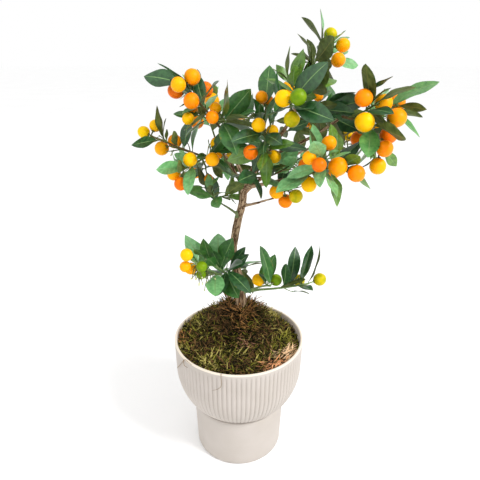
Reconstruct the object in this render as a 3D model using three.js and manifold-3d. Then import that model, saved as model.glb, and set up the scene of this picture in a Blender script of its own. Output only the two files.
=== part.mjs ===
// A round-fruited kumquat tree, pruned like a small standard, in a ribbed bowl on a plain foot.
// Millimetres, +Z up. The origin is the middle of the pot's flat underside.
import * as THREE from 'three';
import { mergeVertices } from 'three/addons/utils/BufferGeometryUtils.js';
import Module from 'manifold-3d';

// Pot
const POT_HEIGHT = 174.4;
const RIM_RADIUS = 87.5;
const RIM_LIP = 1.2;
const SHOULDER_RADIUS = RIM_RADIUS - 1;
const FOOT_HEIGHT = 75.1;
const FOOT_TOP_RADIUS = 63.5;
const FOOT_BASE_RADIUS = 61;
const FOOT_ROUNDING = 3;
const BOWL_BASE_RADIUS = 56;
const BOWL_CURVE_HEIGHT = 55.8;
const BOWL_ROUNDNESS = 1.7;
const BOWL_STEPS = 3;
const INSIDE_STEPS = 2;
const RIBS = 90;
const RIB_DEPTH = 1.4;
const RIM_BAND = 5.5;
const RIB_END = 0.8;
const WALL = 5;
const FLOOR_THICKNESS = 9;
const POT_SIDES = 30;

// Moss and soil
const GAP = 0.3;
const MOSS_LEVEL = 168;
const MOSS_SLOPE_X = -0.05;
const MOSS_SLOPE_Y = 0.04;
const MOUND_RISE = 28;
const MOUND_CENTRE_Y = 34;
const MOUND_REACH_X = 72;
const MOUND_REACH_Y = 62;
const SEAT_RADIUS = 13;
const MOSS_RINGS = 3;

// Trunk: its course up from the moss, as [x, y, z, radius]
const TRUNK_COURSE = [
  [3.2, 35, 197.7, 8.8],
  [2.5, 34, 232, 6.3],
  [-3.7, 32, 263, 5.7],
  [-7.4, 30, 288, 5.6],
  [-4.8, 28, 310, 5.6],
  [-0.8, 26, 332, 5.5],
  [4.3, 24, 353, 5.2],
  [6.8, 22, 373, 4.6],
  [9.2, 20, 385, 4.2],
];
const TRUNK_SIDES = 9;
const TRUNK_RINGS = 17;
const FLARE_LOBES = 5;
const FLARE_DEPTH = 0.16;
const FLARE_HEIGHT = 0.14;

// Boughs: each is one tapering limb from a place on its parent to its own tip
const BOUGHS = [
  {
    name: 'bough_left', parent: 'trunk', at: 0.95, tip: [-31, 16, 414],
    lift: 0.04, side: 0, thick: 2.6, thin: 1.5,
  },
  {
    name: 'bough_upper_left', parent: 'trunk', at: 1, tip: [-16, 6, 446],
    lift: 0, side: 0.1, thick: 2.6, thin: 1.5,
  },
  {
    name: 'bough_centre', parent: 'trunk', at: 0.92, tip: [34, -14, 424],
    lift: -0.05, side: 0, thick: 2.4, thin: 1.4,
  },
  {
    name: 'bough_top', parent: 'trunk', at: 1, tip: [66, 2, 474],
    lift: -0.1, side: 0, thick: 3.4, thin: 1.9,
  },
  {
    name: 'bough_crown_top', parent: 'bough_top', at: 0.86, tip: [74, 14, 506],
    lift: 0, side: 0.05, thick: 1.8, thin: 1.4,
  },
  {
    name: 'bough_right_upper', parent: 'bough_top', at: 0.42, tip: [112, -22, 468],
    lift: -0.1, side: 0, thick: 2.4, thin: 1.6,
  },
  {
    name: 'bough_right', parent: 'trunk', at: 0.9, tip: [86, -32, 410],
    lift: -0.02, side: 0, thick: 2.8, thin: 1.5,
  },
  {
    name: 'bough_low_left', parent: 'trunk', at: 0.66, tip: [-27, 21, 359],
    lift: 0.05, side: 0, thick: 1.8, thin: 1.3,
  },
  {
    name: 'bough_low_right', parent: 'trunk', at: 0.74, tip: [42, 10, 366],
    lift: -0.04, side: 0, thick: 2.2, thin: 1.4,
  },
  {
    name: 'bough_back', parent: 'trunk', at: 0.97, tip: [42, 82, 428],
    lift: 0.08, side: 0, thick: 2.8, thin: 1.6,
  },
  {
    name: 'bough_back_left', parent: 'trunk', at: 0.88, tip: [-24, 74, 414],
    lift: 0.08, side: 0, thick: 2.6, thin: 1.5,
  },
  {
    name: 'bough_back_right', parent: 'trunk', at: 0.84, tip: [84, 62, 414],
    lift: 0.08, side: 0, thick: 2.6, thin: 1.5,
  },
];

// Masses of foliage, each on its bough's tip or on the trunk. A spray is one twig: the tip that it
// reaches, its number of leaves and their usual length, the width of its fruits, and how ripe each
// fruit is, from 0 for green to 1 for deep orange. Some sprays name their own rise and breadth of
// leaf. The seeds settle how the fruits and leaves fall.
const FOLIAGE = [
  { name: 'foliage_left', bough: 'bough_left', at: 1, sprays: [
    {
      tip: [-106, 28, 439], leaves: 6, leaf: 42,
      fruit: 15.5, ripe: [0.55, 0.5], fruitSeed: 725, leafSeed: 45136,
    },
    {
      tip: [-83, 22, 428], leaves: 6, leaf: 46, rise: 0.7,
      fruit: 17, ripe: [0.7, 0.8], fruitSeed: 5272, leafSeed: 62174,
    },
    {
      tip: [-66, 10, 402], leaves: 7, leaf: 40,
      fruit: 16, ripe: [0.95, 0.65, 0.55], fruitSeed: 1500, leafSeed: 6106,
    },
    {
      tip: [-30, 5, 423], leaves: 6, leaf: 40,
      fruit: 16.5, ripe: [0.6, 0.7], fruitSeed: 9870, leafSeed: 41368,
    },
    {
      tip: [-42, 45, 393], leaves: 4, leaf: 38,
      fruit: 12, ripe: [0.8], fruitSeed: 4901, leafSeed: 19210,
    },
  ] },
  { name: 'foliage_upper_left', bough: 'bough_upper_left', at: 1, sprays: [
    {
      tip: [-58, 5, 498], leaves: 7, leaf: 44,
      fruit: 17.5, ripe: [0.6, 0.6, 0.8], fruitSeed: 6992, leafSeed: 44845,
    },
    {
      tip: [-56, 25, 487], leaves: 6, leaf: 42,
      fruit: 17.5, ripe: [0.85, 0.98], fruitSeed: 7500, leafSeed: 12144,
    },
    {
      tip: [-46, 15, 467], leaves: 6, leaf: 42, rise: 0.1,
      fruit: 14, ripe: [0.55, 0.85], fruitSeed: 9133, leafSeed: 70454,
    },
    {
      tip: [-13, 0, 460], leaves: 8, leaf: 48, breadth: 0.5,
      fruit: 14, ripe: [0.85, 0.85], fruitSeed: 4248, leafSeed: 52103,
    },
  ] },
  { name: 'foliage_centre', bough: 'bough_centre', at: 1, sprays: [
    {
      tip: [28, -20, 450], leaves: 7, leaf: 42,
      fruit: 15, ripe: [0.75, 0.65], fruitSeed: 364, leafSeed: 82575,
    },
    {
      tip: [28, -35, 436], leaves: 7, leaf: 40,
      fruit: 15.5, ripe: [0.98, 0.7], fruitSeed: 8873, leafSeed: 78077,
    },
    {
      tip: [31, 10, 474], leaves: 6, leaf: 44,
      fruit: 13.5, ripe: [0.75, 0.9], fruitSeed: 2184, leafSeed: 2427,
    },
  ] },
  { name: 'foliage_upper', bough: 'bough_top', at: 1, sprays: [
    {
      tip: [53, -55, 486], leaves: 7, leaf: 46,
      fruit: 17, ripe: [0.55, 0.1, 0.3], fruitSeed: 1754, leafSeed: 45546,
    },
    {
      tip: [52, -20, 505], leaves: 8, leaf: 43,
      fruit: 0, ripe: [], fruitSeed: 0, leafSeed: 82952,
    },
    {
      tip: [77, -10, 497], leaves: 8, leaf: 44,
      fruit: 11, ripe: [0.8, 0.8], fruitSeed: 8063, leafSeed: 86980,
    },
    {
      tip: [95, -10, 474], leaves: 8, leaf: 42,
      fruit: 12, ripe: [0.98], fruitSeed: 5786, leafSeed: 24890,
    },
  ] },
  { name: 'foliage_top', bough: 'bough_crown_top', at: 1, sprays: [
    {
      tip: [100, 30, 538], leaves: 8, leaf: 48, breadth: 0.37,
      fruit: 15, ripe: [0.3, 0.7], fruitSeed: 2539, leafSeed: 25554,
    },
    {
      tip: [107, 30, 524], leaves: 6, leaf: 46, breadth: 0.37,
      fruit: 15.5, ripe: [0.8], fruitSeed: 6263, leafSeed: 81350,
    },
    {
      tip: [86, 45, 524], leaves: 6, leaf: 42, breadth: 0.37,
      fruit: 0, ripe: [], fruitSeed: 0, leafSeed: 65197,
    },
  ] },
  { name: 'foliage_upper_right', bough: 'bough_right_upper', at: 1, sprays: [
    {
      tip: [142, -40, 483], leaves: 7, leaf: 50,
      fruit: 18, ripe: [0.7, 0.85], fruitSeed: 174, leafSeed: 28980,
    },
    {
      tip: [170, -20, 479], leaves: 8, leaf: 52, breadth: 0.32,
      fruit: 19.5, ripe: [0.9], fruitSeed: 8128, leafSeed: 74046,
    },
    {
      tip: [147, -45, 462], leaves: 8, leaf: 50,
      fruit: 20.5, ripe: [0.8, 0.55], fruitSeed: 1270, leafSeed: 13604,
    },
    {
      tip: [153, -45, 437], leaves: 6, leaf: 40,
      fruit: 18.5, ripe: [0.85, 0.65, 0.98], fruitSeed: 9302, leafSeed: 22583,
    },
    {
      tip: [144, -10, 441], leaves: 6, leaf: 42,
      fruit: 18, ripe: [0.99], fruitSeed: 8301, leafSeed: 6069,
    },
  ] },
  { name: 'foliage_right', bough: 'bough_right', at: 1, sprays: [
    {
      tip: [113, -60, 422], leaves: 5, leaf: 40,
      fruit: 18.5, ripe: [0.85, 0.8], fruitSeed: 2841, leafSeed: 41386,
    },
    {
      tip: [84, -75, 434], leaves: 8, leaf: 50, breadth: 0.36,
      fruit: 14.5, ripe: [0.9, 0.8, 0.6], fruitSeed: 8242, leafSeed: 62749,
    },
    {
      tip: [75, -50, 412], leaves: 6, leaf: 42,
      fruit: 16.5, ripe: [0.7, 0.95], fruitSeed: 802, leafSeed: 48588,
    },
  ] },
  { name: 'foliage_inner', bough: 'trunk', at: 1, sprays: [
    {
      tip: [27, -25, 408], leaves: 7, leaf: 42,
      fruit: 0, ripe: [], fruitSeed: 0, leafSeed: 20380,
    },
    {
      tip: [56, -30, 416], leaves: 8, leaf: 40,
      fruit: 0, ripe: [], fruitSeed: 0, leafSeed: 6627,
    },
    {
      tip: [21, 50, 397], leaves: 7, leaf: 40,
      fruit: 0, ripe: [], fruitSeed: 0, leafSeed: 63033,
    },
  ] },
  { name: 'foliage_low_left', bough: 'bough_low_left', at: 1, sprays: [
    {
      tip: [-34, 15, 371], leaves: 6, leaf: 40, rise: 0.4,
      fruit: 0, ripe: [], fruitSeed: 0, leafSeed: 12905,
    },
    {
      tip: [-15, 30, 364], leaves: 5, leaf: 38, rise: 0.4,
      fruit: 0, ripe: [], fruitSeed: 0, leafSeed: 40509,
    },
  ] },
  { name: 'foliage_low_right', bough: 'bough_low_right', at: 1, sprays: [
    {
      tip: [56, 0, 380], leaves: 4, leaf: 38,
      fruit: 16.5, ripe: [0.3, 0.92, 0.65], fruitSeed: 3686, leafSeed: 8483,
    },
  ] },
  { name: 'foliage_base_left', bough: 'trunk', at: 0.16, sprays: [
    {
      tip: [-56, -35, 303], leaves: 6, leaf: 46, rise: 0.9, breadth: 0.52,
      fruit: 14.5, ripe: [0.5, 0.55, 0.7], fruitSeed: 1950, leafSeed: 8001,
    },
    {
      tip: [-40, -25, 299], leaves: 6, leaf: 46, rise: 0.9, breadth: 0.5,
      fruit: 13, ripe: [0.1, 0.15], fruitSeed: 695, leafSeed: 73076,
    },
    {
      tip: [-16, -10, 278], leaves: 8, leaf: 42, rise: 0.4,
      fruit: 0, ripe: [], fruitSeed: 0, leafSeed: 26975,
    },
    {
      tip: [10, 62, 245], leaves: 6, leaf: 44, rise: 0.4,
      fruit: 0, ripe: [], fruitSeed: 0, leafSeed: 48728,
    },
  ] },
  { name: 'foliage_base_right', bough: 'trunk', at: 0.085, sprays: [
    {
      tip: [41, -5, 252], leaves: 5, leaf: 48, rise: 1.5, breadth: 0.38,
      fruit: 16, ripe: [0.1, 0.6], fruitSeed: 4103, leafSeed: 3452,
    },
    {
      tip: [89, -10, 258], leaves: 6, leaf: 48, rise: 1.5, breadth: 0.38,
      fruit: 17, ripe: [0.4, 0.2], fruitSeed: 6212, leafSeed: 31373,
    },
  ] },
  { name: 'foliage_back', bough: 'bough_back', at: 1, sprays: [
    {
      tip: [15, 95, 459], leaves: 6, leaf: 46,
      fruit: 19, ripe: [0.7, 0.8], fruitSeed: 87, leafSeed: 83301,
    },
    {
      tip: [59, 120, 472], leaves: 6, leaf: 46,
      fruit: 19, ripe: [0.7], fruitSeed: 88, leafSeed: 76787,
    },
    {
      tip: [88, 135, 432], leaves: 6, leaf: 46,
      fruit: 19, ripe: [0.6, 0.8], fruitSeed: 89, leafSeed: 63966,
    },
    {
      tip: [33, 120, 404], leaves: 6, leaf: 44,
      fruit: 19, ripe: [0.8], fruitSeed: 90, leafSeed: 81269,
    },
    {
      tip: [81, 110, 384], leaves: 5, leaf: 42,
      fruit: 19, ripe: [0.7], fruitSeed: 91, leafSeed: 53873,
    },
  ] },
  { name: 'foliage_back_left', bough: 'bough_back_left', at: 1, sprays: [
    {
      tip: [-43, 75, 470], leaves: 6, leaf: 44,
      fruit: 19, ripe: [0.7, 0.85], fruitSeed: 94, leafSeed: 88484,
    },
    {
      tip: [-61, 105, 381], leaves: 6, leaf: 42,
      fruit: 19, ripe: [0.8], fruitSeed: 95, leafSeed: 27505,
    },
    {
      tip: [-20, 135, 386], leaves: 6, leaf: 44,
      fruit: 19, ripe: [0.6, 0.8], fruitSeed: 96, leafSeed: 12343,
    },
  ] },
  { name: 'foliage_back_right', bough: 'bough_back_right', at: 1, sprays: [
    {
      tip: [128, 95, 464], leaves: 6, leaf: 46,
      fruit: 19, ripe: [0.7, 0.8], fruitSeed: 101, leafSeed: 74778,
    },
    {
      tip: [172, 55, 457], leaves: 6, leaf: 46,
      fruit: 19, ripe: [0.7], fruitSeed: 102, leafSeed: 26886,
    },
    {
      tip: [154, 105, 421], leaves: 6, leaf: 44,
      fruit: 19, ripe: [0.6, 0.8], fruitSeed: 103, leafSeed: 57120,
    },
    {
      tip: [122, 110, 392], leaves: 6, leaf: 44,
      fruit: 19, ripe: [0.9], fruitSeed: 104, leafSeed: 37451,
    },
  ] },
];

// Leaf, fruit and limb shapes
const LEAF_FOLD = 0.22;
const LEAF_KEEL = 0.8;
const BLADE_ROWS = [[0.28, 0.86], [0.7, 0.9]];
const FRUIT_FULLNESS = 1.1;
const ROOT_DEPTH = 0.2;
const BUD_LENGTH = 1;
const BOUGH_SIDES = 5;
const TWIG_RINGS = 3;
const BOUGH_RINGS = 5;
const FINEST = 0.2;

// Growth sizes
const STEM_THICK = 1.6;
const STEM_THIN = 1.3;
const STEM_SHARE = 0.42;
const TWIG_THICK = 1.25;
const TWIG_THIN = 0.9;
const TWIG_CLEAR = 1.6;
const TWIG_TRIES = 12;
const STALK_SHORT = 2;
const STALK_LONG = 13;
const STALK_RADIUS = 0.5;
const STALK_REACH = 0.8;
const FRUIT_TRIES = 14;
const LEAF_TRIES = 14;
const GOLDEN_ANGLE = THREE.MathUtils.degToRad(137.5);
const USUAL_RISE = 0.3;
const USUAL_BREADTH = 0.4;
const LOWEST_LEAF = 213;
const LOWEST_FRUIT = 214;

// Chance: a number from 0 to 1 that depends only on the whole numbers given
function chance(...keys) {
  let mix = 0x9e3779b9;
  for (const key of keys) {
    mix = Math.imul(mix ^ key, 0x85ebca6b);
    mix ^= mix >>> 13;
    mix = Math.imul(mix, 0xc2b2ae35);
    mix ^= mix >>> 16;
  }
  return (mix >>> 0) / 4294967296;
}

function between(low, high, ...keys) {
  return low + (high - low) * chance(...keys);
}

// Curves
const UP = new THREE.Vector3(0, 0, 1);
const NUDGE = new THREE.Vector3(1e-6, 0, 0);

function vector(list) {
  return new THREE.Vector3(list[0], list[1], list[2]);
}

function sum(...terms) {
  const total = new THREE.Vector3();
  for (const [direction, amount] of terms) total.addScaledVector(direction, amount);
  return total;
}

// A limb along a quadratic curve, with a radius that tapers evenly
function arch(from, to, lift, side, thick, thin) {
  const span = to.clone().sub(from);
  const length = span.length();
  const across = span.clone().cross(UP).add(NUDGE).normalize();
  const middle = sum([from, 0.5], [to, 0.5], [UP, lift * length], [across, side * length]);
  return {
    length,
    at: (t) => sum([from, (1 - t) ** 2], [middle, 2 * t * (1 - t)], [to, t * t]),
    along: (t) => sum([middle.clone().sub(from), 1 - t], [to.clone().sub(middle), t]).normalize(),
    radius: (t) => thick + (thin - thick) * t,
  };
}

// The trunk passes smoothly through the points of its course
function trunkLimb() {
  const points = TRUNK_COURSE.map(vector);
  const radii = TRUNK_COURSE.map((place) => place[3]);
  const last = points.length - 1;
  const locate = (t) => {
    const u = Math.min(Math.max(t, 0), 1) * last;
    const i = Math.min(Math.floor(u), last - 1);
    return [i, u - i];
  };
  const at = (t) => {
    const [i, f] = locate(t);
    const before = points[Math.max(i - 1, 0)];
    const after = points[Math.min(i + 2, last)];
    return sum(
      [before, 0.5 * (-f + 2 * f * f - f ** 3)],
      [points[i], 0.5 * (2 - 5 * f * f + 3 * f ** 3)],
      [points[i + 1], 0.5 * (f + 4 * f * f - 3 * f ** 3)],
      [after, 0.5 * (-f * f + f ** 3)],
    );
  };
  return {
    length: 200,
    at,
    along: (t) => at(Math.min(t + 0.02, 1)).sub(at(Math.max(t - 0.02, 0))).normalize(),
    radius: (t) => {
      const [i, f] = locate(t);
      return radii[i] * (1 - f) + radii[i + 1] * f;
    },
  };
}

// Places every few millimetres along a limb, each with the limb's radius there
function walk(limb) {
  const count = Math.max(4, Math.ceil(limb.length / 4) + 1);
  return Array.from({ length: count }, (_, i) => {
    const t = i / (count - 1);
    return { t, point: limb.at(t), radius: limb.radius(t) };
  });
}

// Boughs, each grown from its parent, after the trunk
function growLimbs() {
  const limbs = new Map([['trunk', trunkLimb()]]);
  for (const bough of BOUGHS) {
    const foot = limbs.get(bough.parent).at(bough.at);
    limbs.set(bough.name, arch(foot, vector(bough.tip), bough.lift, bough.side, bough.thick, bough.thin));
  }
  return limbs;
}

// Everything woody that a leaf or fruit has to keep clear of
const wood = [];

function remember(limb, mass, spray) {
  for (const place of walk(limb)) wood.push({ ...place, mass, spray });
}

function clearance(limb, others) {
  let least = Infinity;
  for (const place of walk(limb)) {
    if (place.t <= 0.25) continue;
    for (const other of others) {
      least = Math.min(least, place.point.distanceTo(other.point) - other.radius - place.radius);
    }
  }
  return least;
}

// The twig of a spray leaves the stem and ends at the spray's tip. It bends the way that keeps it clear.
function growTwig(stem, spray, mass, index, share, others) {
  let best = null;
  for (let attempt = 0; attempt < TWIG_TRIES; attempt += 1) {
    const side = between(-0.16, 0.16, mass, index, attempt, 5);
    const lift = between(-0.16, 0.1, mass, index, attempt, 6);
    const twig = arch(stem.at(share), vector(spray.tip), lift, side, TWIG_THICK, TWIG_THIN);
    const room = clearance(twig, others);
    if (!best || room > best.room) best = { room, twig };
    if (room > TWIG_CLEAR) return twig;
  }
  return best.twig;
}

// The stem of a mass leaves its bough's tip for the middle of its sprays
function growStem(host, foliage) {
  const start = host.at(foliage.at);
  const middle = new THREE.Vector3();
  for (const spray of foliage.sprays) middle.addScaledVector(vector(spray.tip), 1 / foliage.sprays.length);
  return arch(start, start.clone().lerp(middle, STEM_SHARE), 0, 0, STEM_THICK, STEM_THIN);
}

function growTwigs(limbs) {
  for (const limb of limbs.values()) remember(limb, -1, -1);
  return FOLIAGE.map((foliage, mass) => {
    const stem = growStem(limbs.get(foliage.bough), foliage);
    const others = [...wood];
    const last = Math.max(1, foliage.sprays.length - 1);
    const twigs = foliage.sprays.map((spray, index) => {
      const share = foliage.sprays.length === 1 ? 1 : 0.35 + (0.65 * index) / last;
      return growTwig(stem, spray, mass, index, share, others);
    });
    remember(stem, mass, -1);
    twigs.forEach((twig, index) => remember(twig, mass, index));
    for (const twig of twigs) twig.bud = BUD_LENGTH;
    return { name: foliage.name, stem, twigs, sprays: foliage.sprays, fruits: [], leaves: [] };
  });
}

// A fruit hangs from the end of its twig on a stalk that points any way but back
function hangFruit(twig, spray, index, attempt) {
  const seed = spray.fruitSeed;
  const root = twig.at(Math.max(0.55, 1 - 0.1 * index));
  const forward = twig.along(Math.max(0.55, 1 - 0.1 * index));
  const height = 2 * chance(seed, 1, index, attempt, 0) - 1;
  const turn = 2 * Math.PI * chance(seed, 1, index, attempt, 1);
  const flat = Math.sqrt(1 - height * height);
  const anyWay = new THREE.Vector3(flat * Math.cos(turn), flat * Math.sin(turn), height);
  const way = sum([anyWay, 1], [forward, 0.45], [UP, -0.15]).normalize();
  const radius = (spray.fruit / 2) * between(0.94, 1.06, seed, 1, index, attempt, 2);
  const stalk = between(STALK_SHORT, STALK_LONG, seed, 1, index, attempt, 3);
  return { root, way, radius, centre: sum([root, 1], [way, stalk + radius]) };
}

function fruitIsClear(fruit, mass, index, fruits) {
  if (fruit.centre.z - fruit.radius <= LOWEST_FRUIT) return false;
  for (const place of wood) {
    const own = place.mass === mass && place.spray === index;
    const least = own ? fruit.radius * 0.92 : fruit.radius + 0.6;
    if (place.point.distanceTo(fruit.centre) - place.radius < least) return false;
  }
  return fruits.every((other) => {
    return other.centre.distanceTo(fruit.centre) - other.radius >= fruit.radius + 0.5;
  });
}

// A leaf stands on its twig at a steady turn from the one below, and leans toward the light
function placeLeaf(twig, spray, index, attempt) {
  const seed = spray.leafSeed;
  const pick = (low, high, what) => between(low, high, seed, 2, index, attempt, what);
  const count = spray.leaves;
  const t = index < count - 1 ? 0.34 + (0.66 * (index + 0.6)) / count : 1;
  const forward = twig.along(t);
  const across = forward.clone().cross(UP).add(NUDGE).normalize();
  const over = across.clone().cross(forward);
  const turn = 2 * Math.PI * chance(seed, 2, 99) + GOLDEN_ANGLE * index + pick(-0.7, 0.7, 0);
  const outward = sum([across, Math.cos(turn)], [over, Math.sin(turn)]);
  const lean = THREE.MathUtils.degToRad(pick(30, 85, 1) - (28 * (t - 0.34)) / 0.66);
  const leaning = sum([forward, Math.cos(lean)], [outward, Math.sin(lean)]);
  const rise = (spray.rise ?? USUAL_RISE) + pick(-0.6, 0.6, 2);
  const way = sum([leaning, 1], [UP, rise]).normalize();
  const face = sum([forward, 0.8], [UP, 0.7]);
  const flatFace = sum([face, 1], [way, -face.dot(way)], [over, 1e-6]).normalize();
  const roll = pick(-0.8, 0.8, 3);
  const normal = sum([flatFace, Math.cos(roll)], [way.clone().cross(flatFace), Math.sin(roll)]);
  const side = way.clone().cross(normal);
  const length = spray.leaf * pick(0.62, 1.2, 4);
  const width = length * (spray.breadth ?? USUAL_BREADTH) * pick(0.85, 1.15, 5);
  const bend = pick(-0.05, 0.35, 6);
  return { root: twig.at(t), way, normal, side, length, width, bend };
}

// A place on the leaf: s runs from root to tip, f from one edge to the other
function onLeaf(leaf, s, f) {
  const { root, way, normal, side, length, width, bend } = leaf;
  const half = (width / 2) * leafProfile(s);
  return sum(
    [root, 1],
    [way, length * s],
    [normal, LEAF_FOLD * half * Math.abs(f) - length * bend * s * s],
    [side, half * f],
  );
}

function leafProfile(s) {
  if (s < 0.08) return 0.06;
  const u = (s - 0.08) / 0.92;
  return Math.max(0, Math.sin(Math.PI * u ** 0.9)) ** 0.75;
}

// Spots all over a leaf, close enough together that nothing passes between them
const SPOT_ROWS = Array.from({ length: 12 }, (_, i) => 0.1 + 0.08 * i);
const SPOT_COLUMNS = [-1, -0.6, -0.2, 0.2, 0.6, 1];

function leafSpots(leaf) {
  return SPOT_ROWS.flatMap((s) => SPOT_COLUMNS.map((f) => ({ s, point: onLeaf(leaf, s, f) })));
}

function leafIsClear(leaf, mass, index, fruits, leaves) {
  if (leaf.spots.some((spot) => spot.point.z < LOWEST_LEAF)) return false;
  const reach = (leaf.length * 0.6 + 10) ** 2;
  for (const place of wood) {
    if (place.point.distanceToSquared(leaf.middle) >= reach) continue;
    const own = place.mass === mass && (place.spray === index || place.spray === -1);
    for (const { s, point } of leaf.spots) {
      if (own && s <= 0.3) continue;
      if (point.distanceTo(place.point) - place.radius < (own ? 1.2 : 2.4)) return false;
    }
  }
  for (const fruit of fruits) {
    for (const { s, point } of leaf.spots) {
      if (s > 0.15 && point.distanceTo(fruit.centre) - fruit.radius < 1.2) return false;
    }
  }
  for (const other of leaves) {
    if (other.middle.distanceToSquared(leaf.middle) >= (leaf.length * 0.5 + 34) ** 2) continue;
    const sameTwig = other.mass === mass && other.index === index;
    const room = sameTwig ? 2 : other.mass === mass ? 3 : 5;
    for (const { s, point } of leaf.spots) {
      if (sameTwig && s <= 0.35) continue;
      for (const spot of other.spots) {
        if (point.distanceToSquared(spot.point) < room * room) return false;
      }
    }
  }
  return true;
}

// Fruits are hung on every mass first, and leaves take the room that is left
function growCrown(limbs) {
  const masses = growTwigs(limbs);
  const fruits = [];
  const leaves = [];
  const everySpray = (grow) => {
    masses.forEach((mass, m) => mass.sprays.forEach((spray, i) => grow(mass, m, spray, i)));
  };
  everySpray((mass, m, spray, i) => {
    spray.ripe.forEach((_, index) => {
      for (let attempt = 0; attempt < FRUIT_TRIES; attempt += 1) {
        const fruit = hangFruit(mass.twigs[i], spray, index, attempt);
        if (!fruitIsClear(fruit, m, i, fruits)) continue;
        fruits.push(fruit);
        mass.fruits.push(fruit);
        break;
      }
    });
  });
  everySpray((mass, m, spray, i) => {
    for (let index = 0; index < spray.leaves; index += 1) {
      for (let attempt = 0; attempt < LEAF_TRIES; attempt += 1) {
        const leaf = placeLeaf(mass.twigs[i], spray, index, attempt);
        Object.assign(leaf, { mass: m, index: i, spots: leafSpots(leaf), middle: onLeaf(leaf, 0.5, 0) });
        if (!leafIsClear(leaf, m, i, fruits, leaves)) continue;
        leaves.push(leaf);
        mass.leaves.push(leaf);
        break;
      }
    }
  });
  return masses;
}

// Solids
const wasm = await Module();
wasm.setup();

function toSolid(geometry) {
  const bare = geometry.clone();
  bare.deleteAttribute('normal');
  bare.deleteAttribute('uv');
  const merged = mergeVertices(bare, 1e-4);
  return new wasm.Manifold(new wasm.Mesh({
    numProp: 3,
    vertProperties: new Float32Array(merged.attributes.position.array),
    triVerts: new Uint32Array(merged.index.array),
  }));
}

function toGeometry(solid) {
  const mesh = solid.getMesh();
  const geometry = new THREE.BufferGeometry();
  geometry.setAttribute('position', new THREE.BufferAttribute(new Float32Array(mesh.vertProperties), 3));
  geometry.setIndex(new THREE.BufferAttribute(new Uint32Array(mesh.triVerts), 1));
  geometry.computeVertexNormals();
  return geometry;
}

// The largest piece of a solid: loose scraps are dropped and sealed hollows are filled
function largestPiece(solid) {
  return solid.decompose().reduce((best, piece) => (piece.volume() > best.volume() ? piece : best));
}

// A closed skin over rings of points, with a fan at each end
function skin(rings) {
  const sides = rings[0].length;
  const points = rings.flat();
  const triangles = [];
  for (let r = 0; r + 1 < rings.length; r += 1) {
    for (let i = 0; i < sides; i += 1) {
      const a = r * sides + i;
      const b = r * sides + ((i + 1) % sides);
      triangles.push(a, b, b + sides, a, b + sides, a + sides);
    }
  }
  const end = (rings.length - 1) * sides;
  for (let i = 1; i + 1 < sides; i += 1) {
    triangles.push(0, i + 1, i);
    triangles.push(end, end + i, end + i + 1);
  }
  const geometry = new THREE.BufferGeometry().setFromPoints(points);
  geometry.setIndex(triangles);
  return geometry;
}

// A tapering limb with flat ends. Extra thickness makes the fatter form that neighbours are cut by.
function limbSolid(limb, sides, ringCount, extra = 0, shape = () => 1) {
  const rings = [];
  let across = null;
  for (let r = 0; r < ringCount; r += 1) {
    const t = r / (ringCount - 1);
    const forward = limb.flatFoot && r === 0 ? UP.clone() : limb.along(t);
    if (!across) across = Math.abs(forward.z) > 0.7 ? new THREE.Vector3(1, 0, 0) : UP.clone();
    across.addScaledVector(forward, -across.dot(forward)).normalize();
    const over = forward.clone().cross(across);
    const centre = limb.at(t);
    if (r === 0) centre.addScaledVector(forward, -extra);
    if (r === ringCount - 1) centre.addScaledVector(forward, extra + (limb.bud ?? 0));
    const ring = [];
    for (let i = 0; i < sides; i += 1) {
      const angle = (2 * Math.PI * i) / sides;
      const radius = limb.radius(t) * shape(angle, t) + extra;
      ring.push(sum([centre, 1], [across, radius * Math.cos(angle)], [over, radius * Math.sin(angle)]));
    }
    rings.push(ring);
  }
  return toSolid(skin(rings));
}

function flare(angle, t) {
  const share = Math.max(0, 1 - t / FLARE_HEIGHT);
  return 1 + FLARE_DEPTH * share * share * Math.cos(FLARE_LOBES * angle);
}

// A stalk is a three-sided spike that narrows from the middle of the twig into the fruit
function stalkSolid(fruit) {
  const across = fruit.way.clone().cross(UP).add(NUDGE).normalize();
  const over = across.clone().cross(fruit.way);
  const base = [0, 1, 2].map((i) => {
    const angle = (2 * Math.PI * i) / 3;
    const out = [[across, STALK_RADIUS * Math.cos(angle)], [over, STALK_RADIUS * Math.sin(angle)]];
    return sum([fruit.root, 1], ...out);
  });
  const point = sum([fruit.centre, 1], [fruit.way, fruit.radius * STALK_REACH]);
  const geometry = new THREE.BufferGeometry().setFromPoints([point, ...base]);
  geometry.setIndex([0, 2, 1, 0, 3, 2, 0, 1, 3, 1, 2, 3]);
  return toSolid(geometry);
}

function fruitSolid(fruit) {
  const ball = new THREE.IcosahedronGeometry(fruit.radius * FRUIT_FULLNESS);
  ball.applyQuaternion(new THREE.Quaternion().setFromUnitVectors(new THREE.Vector3(0, 1, 0), fruit.way));
  ball.translate(fruit.centre.x, fruit.centre.y, fruit.centre.z);
  return toSolid(ball);
}

// A leaf is a six-cornered blade with a keel point below, its root sunk to the middle of the twig
function leafSolid(leaf) {
  const root = sum([leaf.root, 1], [leaf.way, -ROOT_DEPTH]);
  const tip = onLeaf(leaf, 1, 0);
  const [[a, b], [c, d]] = BLADE_ROWS.map(([s, share]) => {
    const edge = share / leafProfile(s);
    return [onLeaf(leaf, s, -edge), onLeaf(leaf, s, edge)];
  });
  const keel = sum([onLeaf(leaf, 0.5, 0), 1], [leaf.normal, -LEAF_KEEL]);
  const faces = [
    [0, 2, 1], [1, 2, 4], [1, 4, 3], [3, 4, 5],
    [6, 0, 1], [6, 1, 3], [6, 3, 5], [6, 5, 4], [6, 4, 2], [6, 2, 0],
  ];
  const geometry = new THREE.BufferGeometry().setFromPoints([root, a, b, c, d, tip, keel]);
  geometry.setIndex(faces.flat());
  return toSolid(geometry);
}

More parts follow.
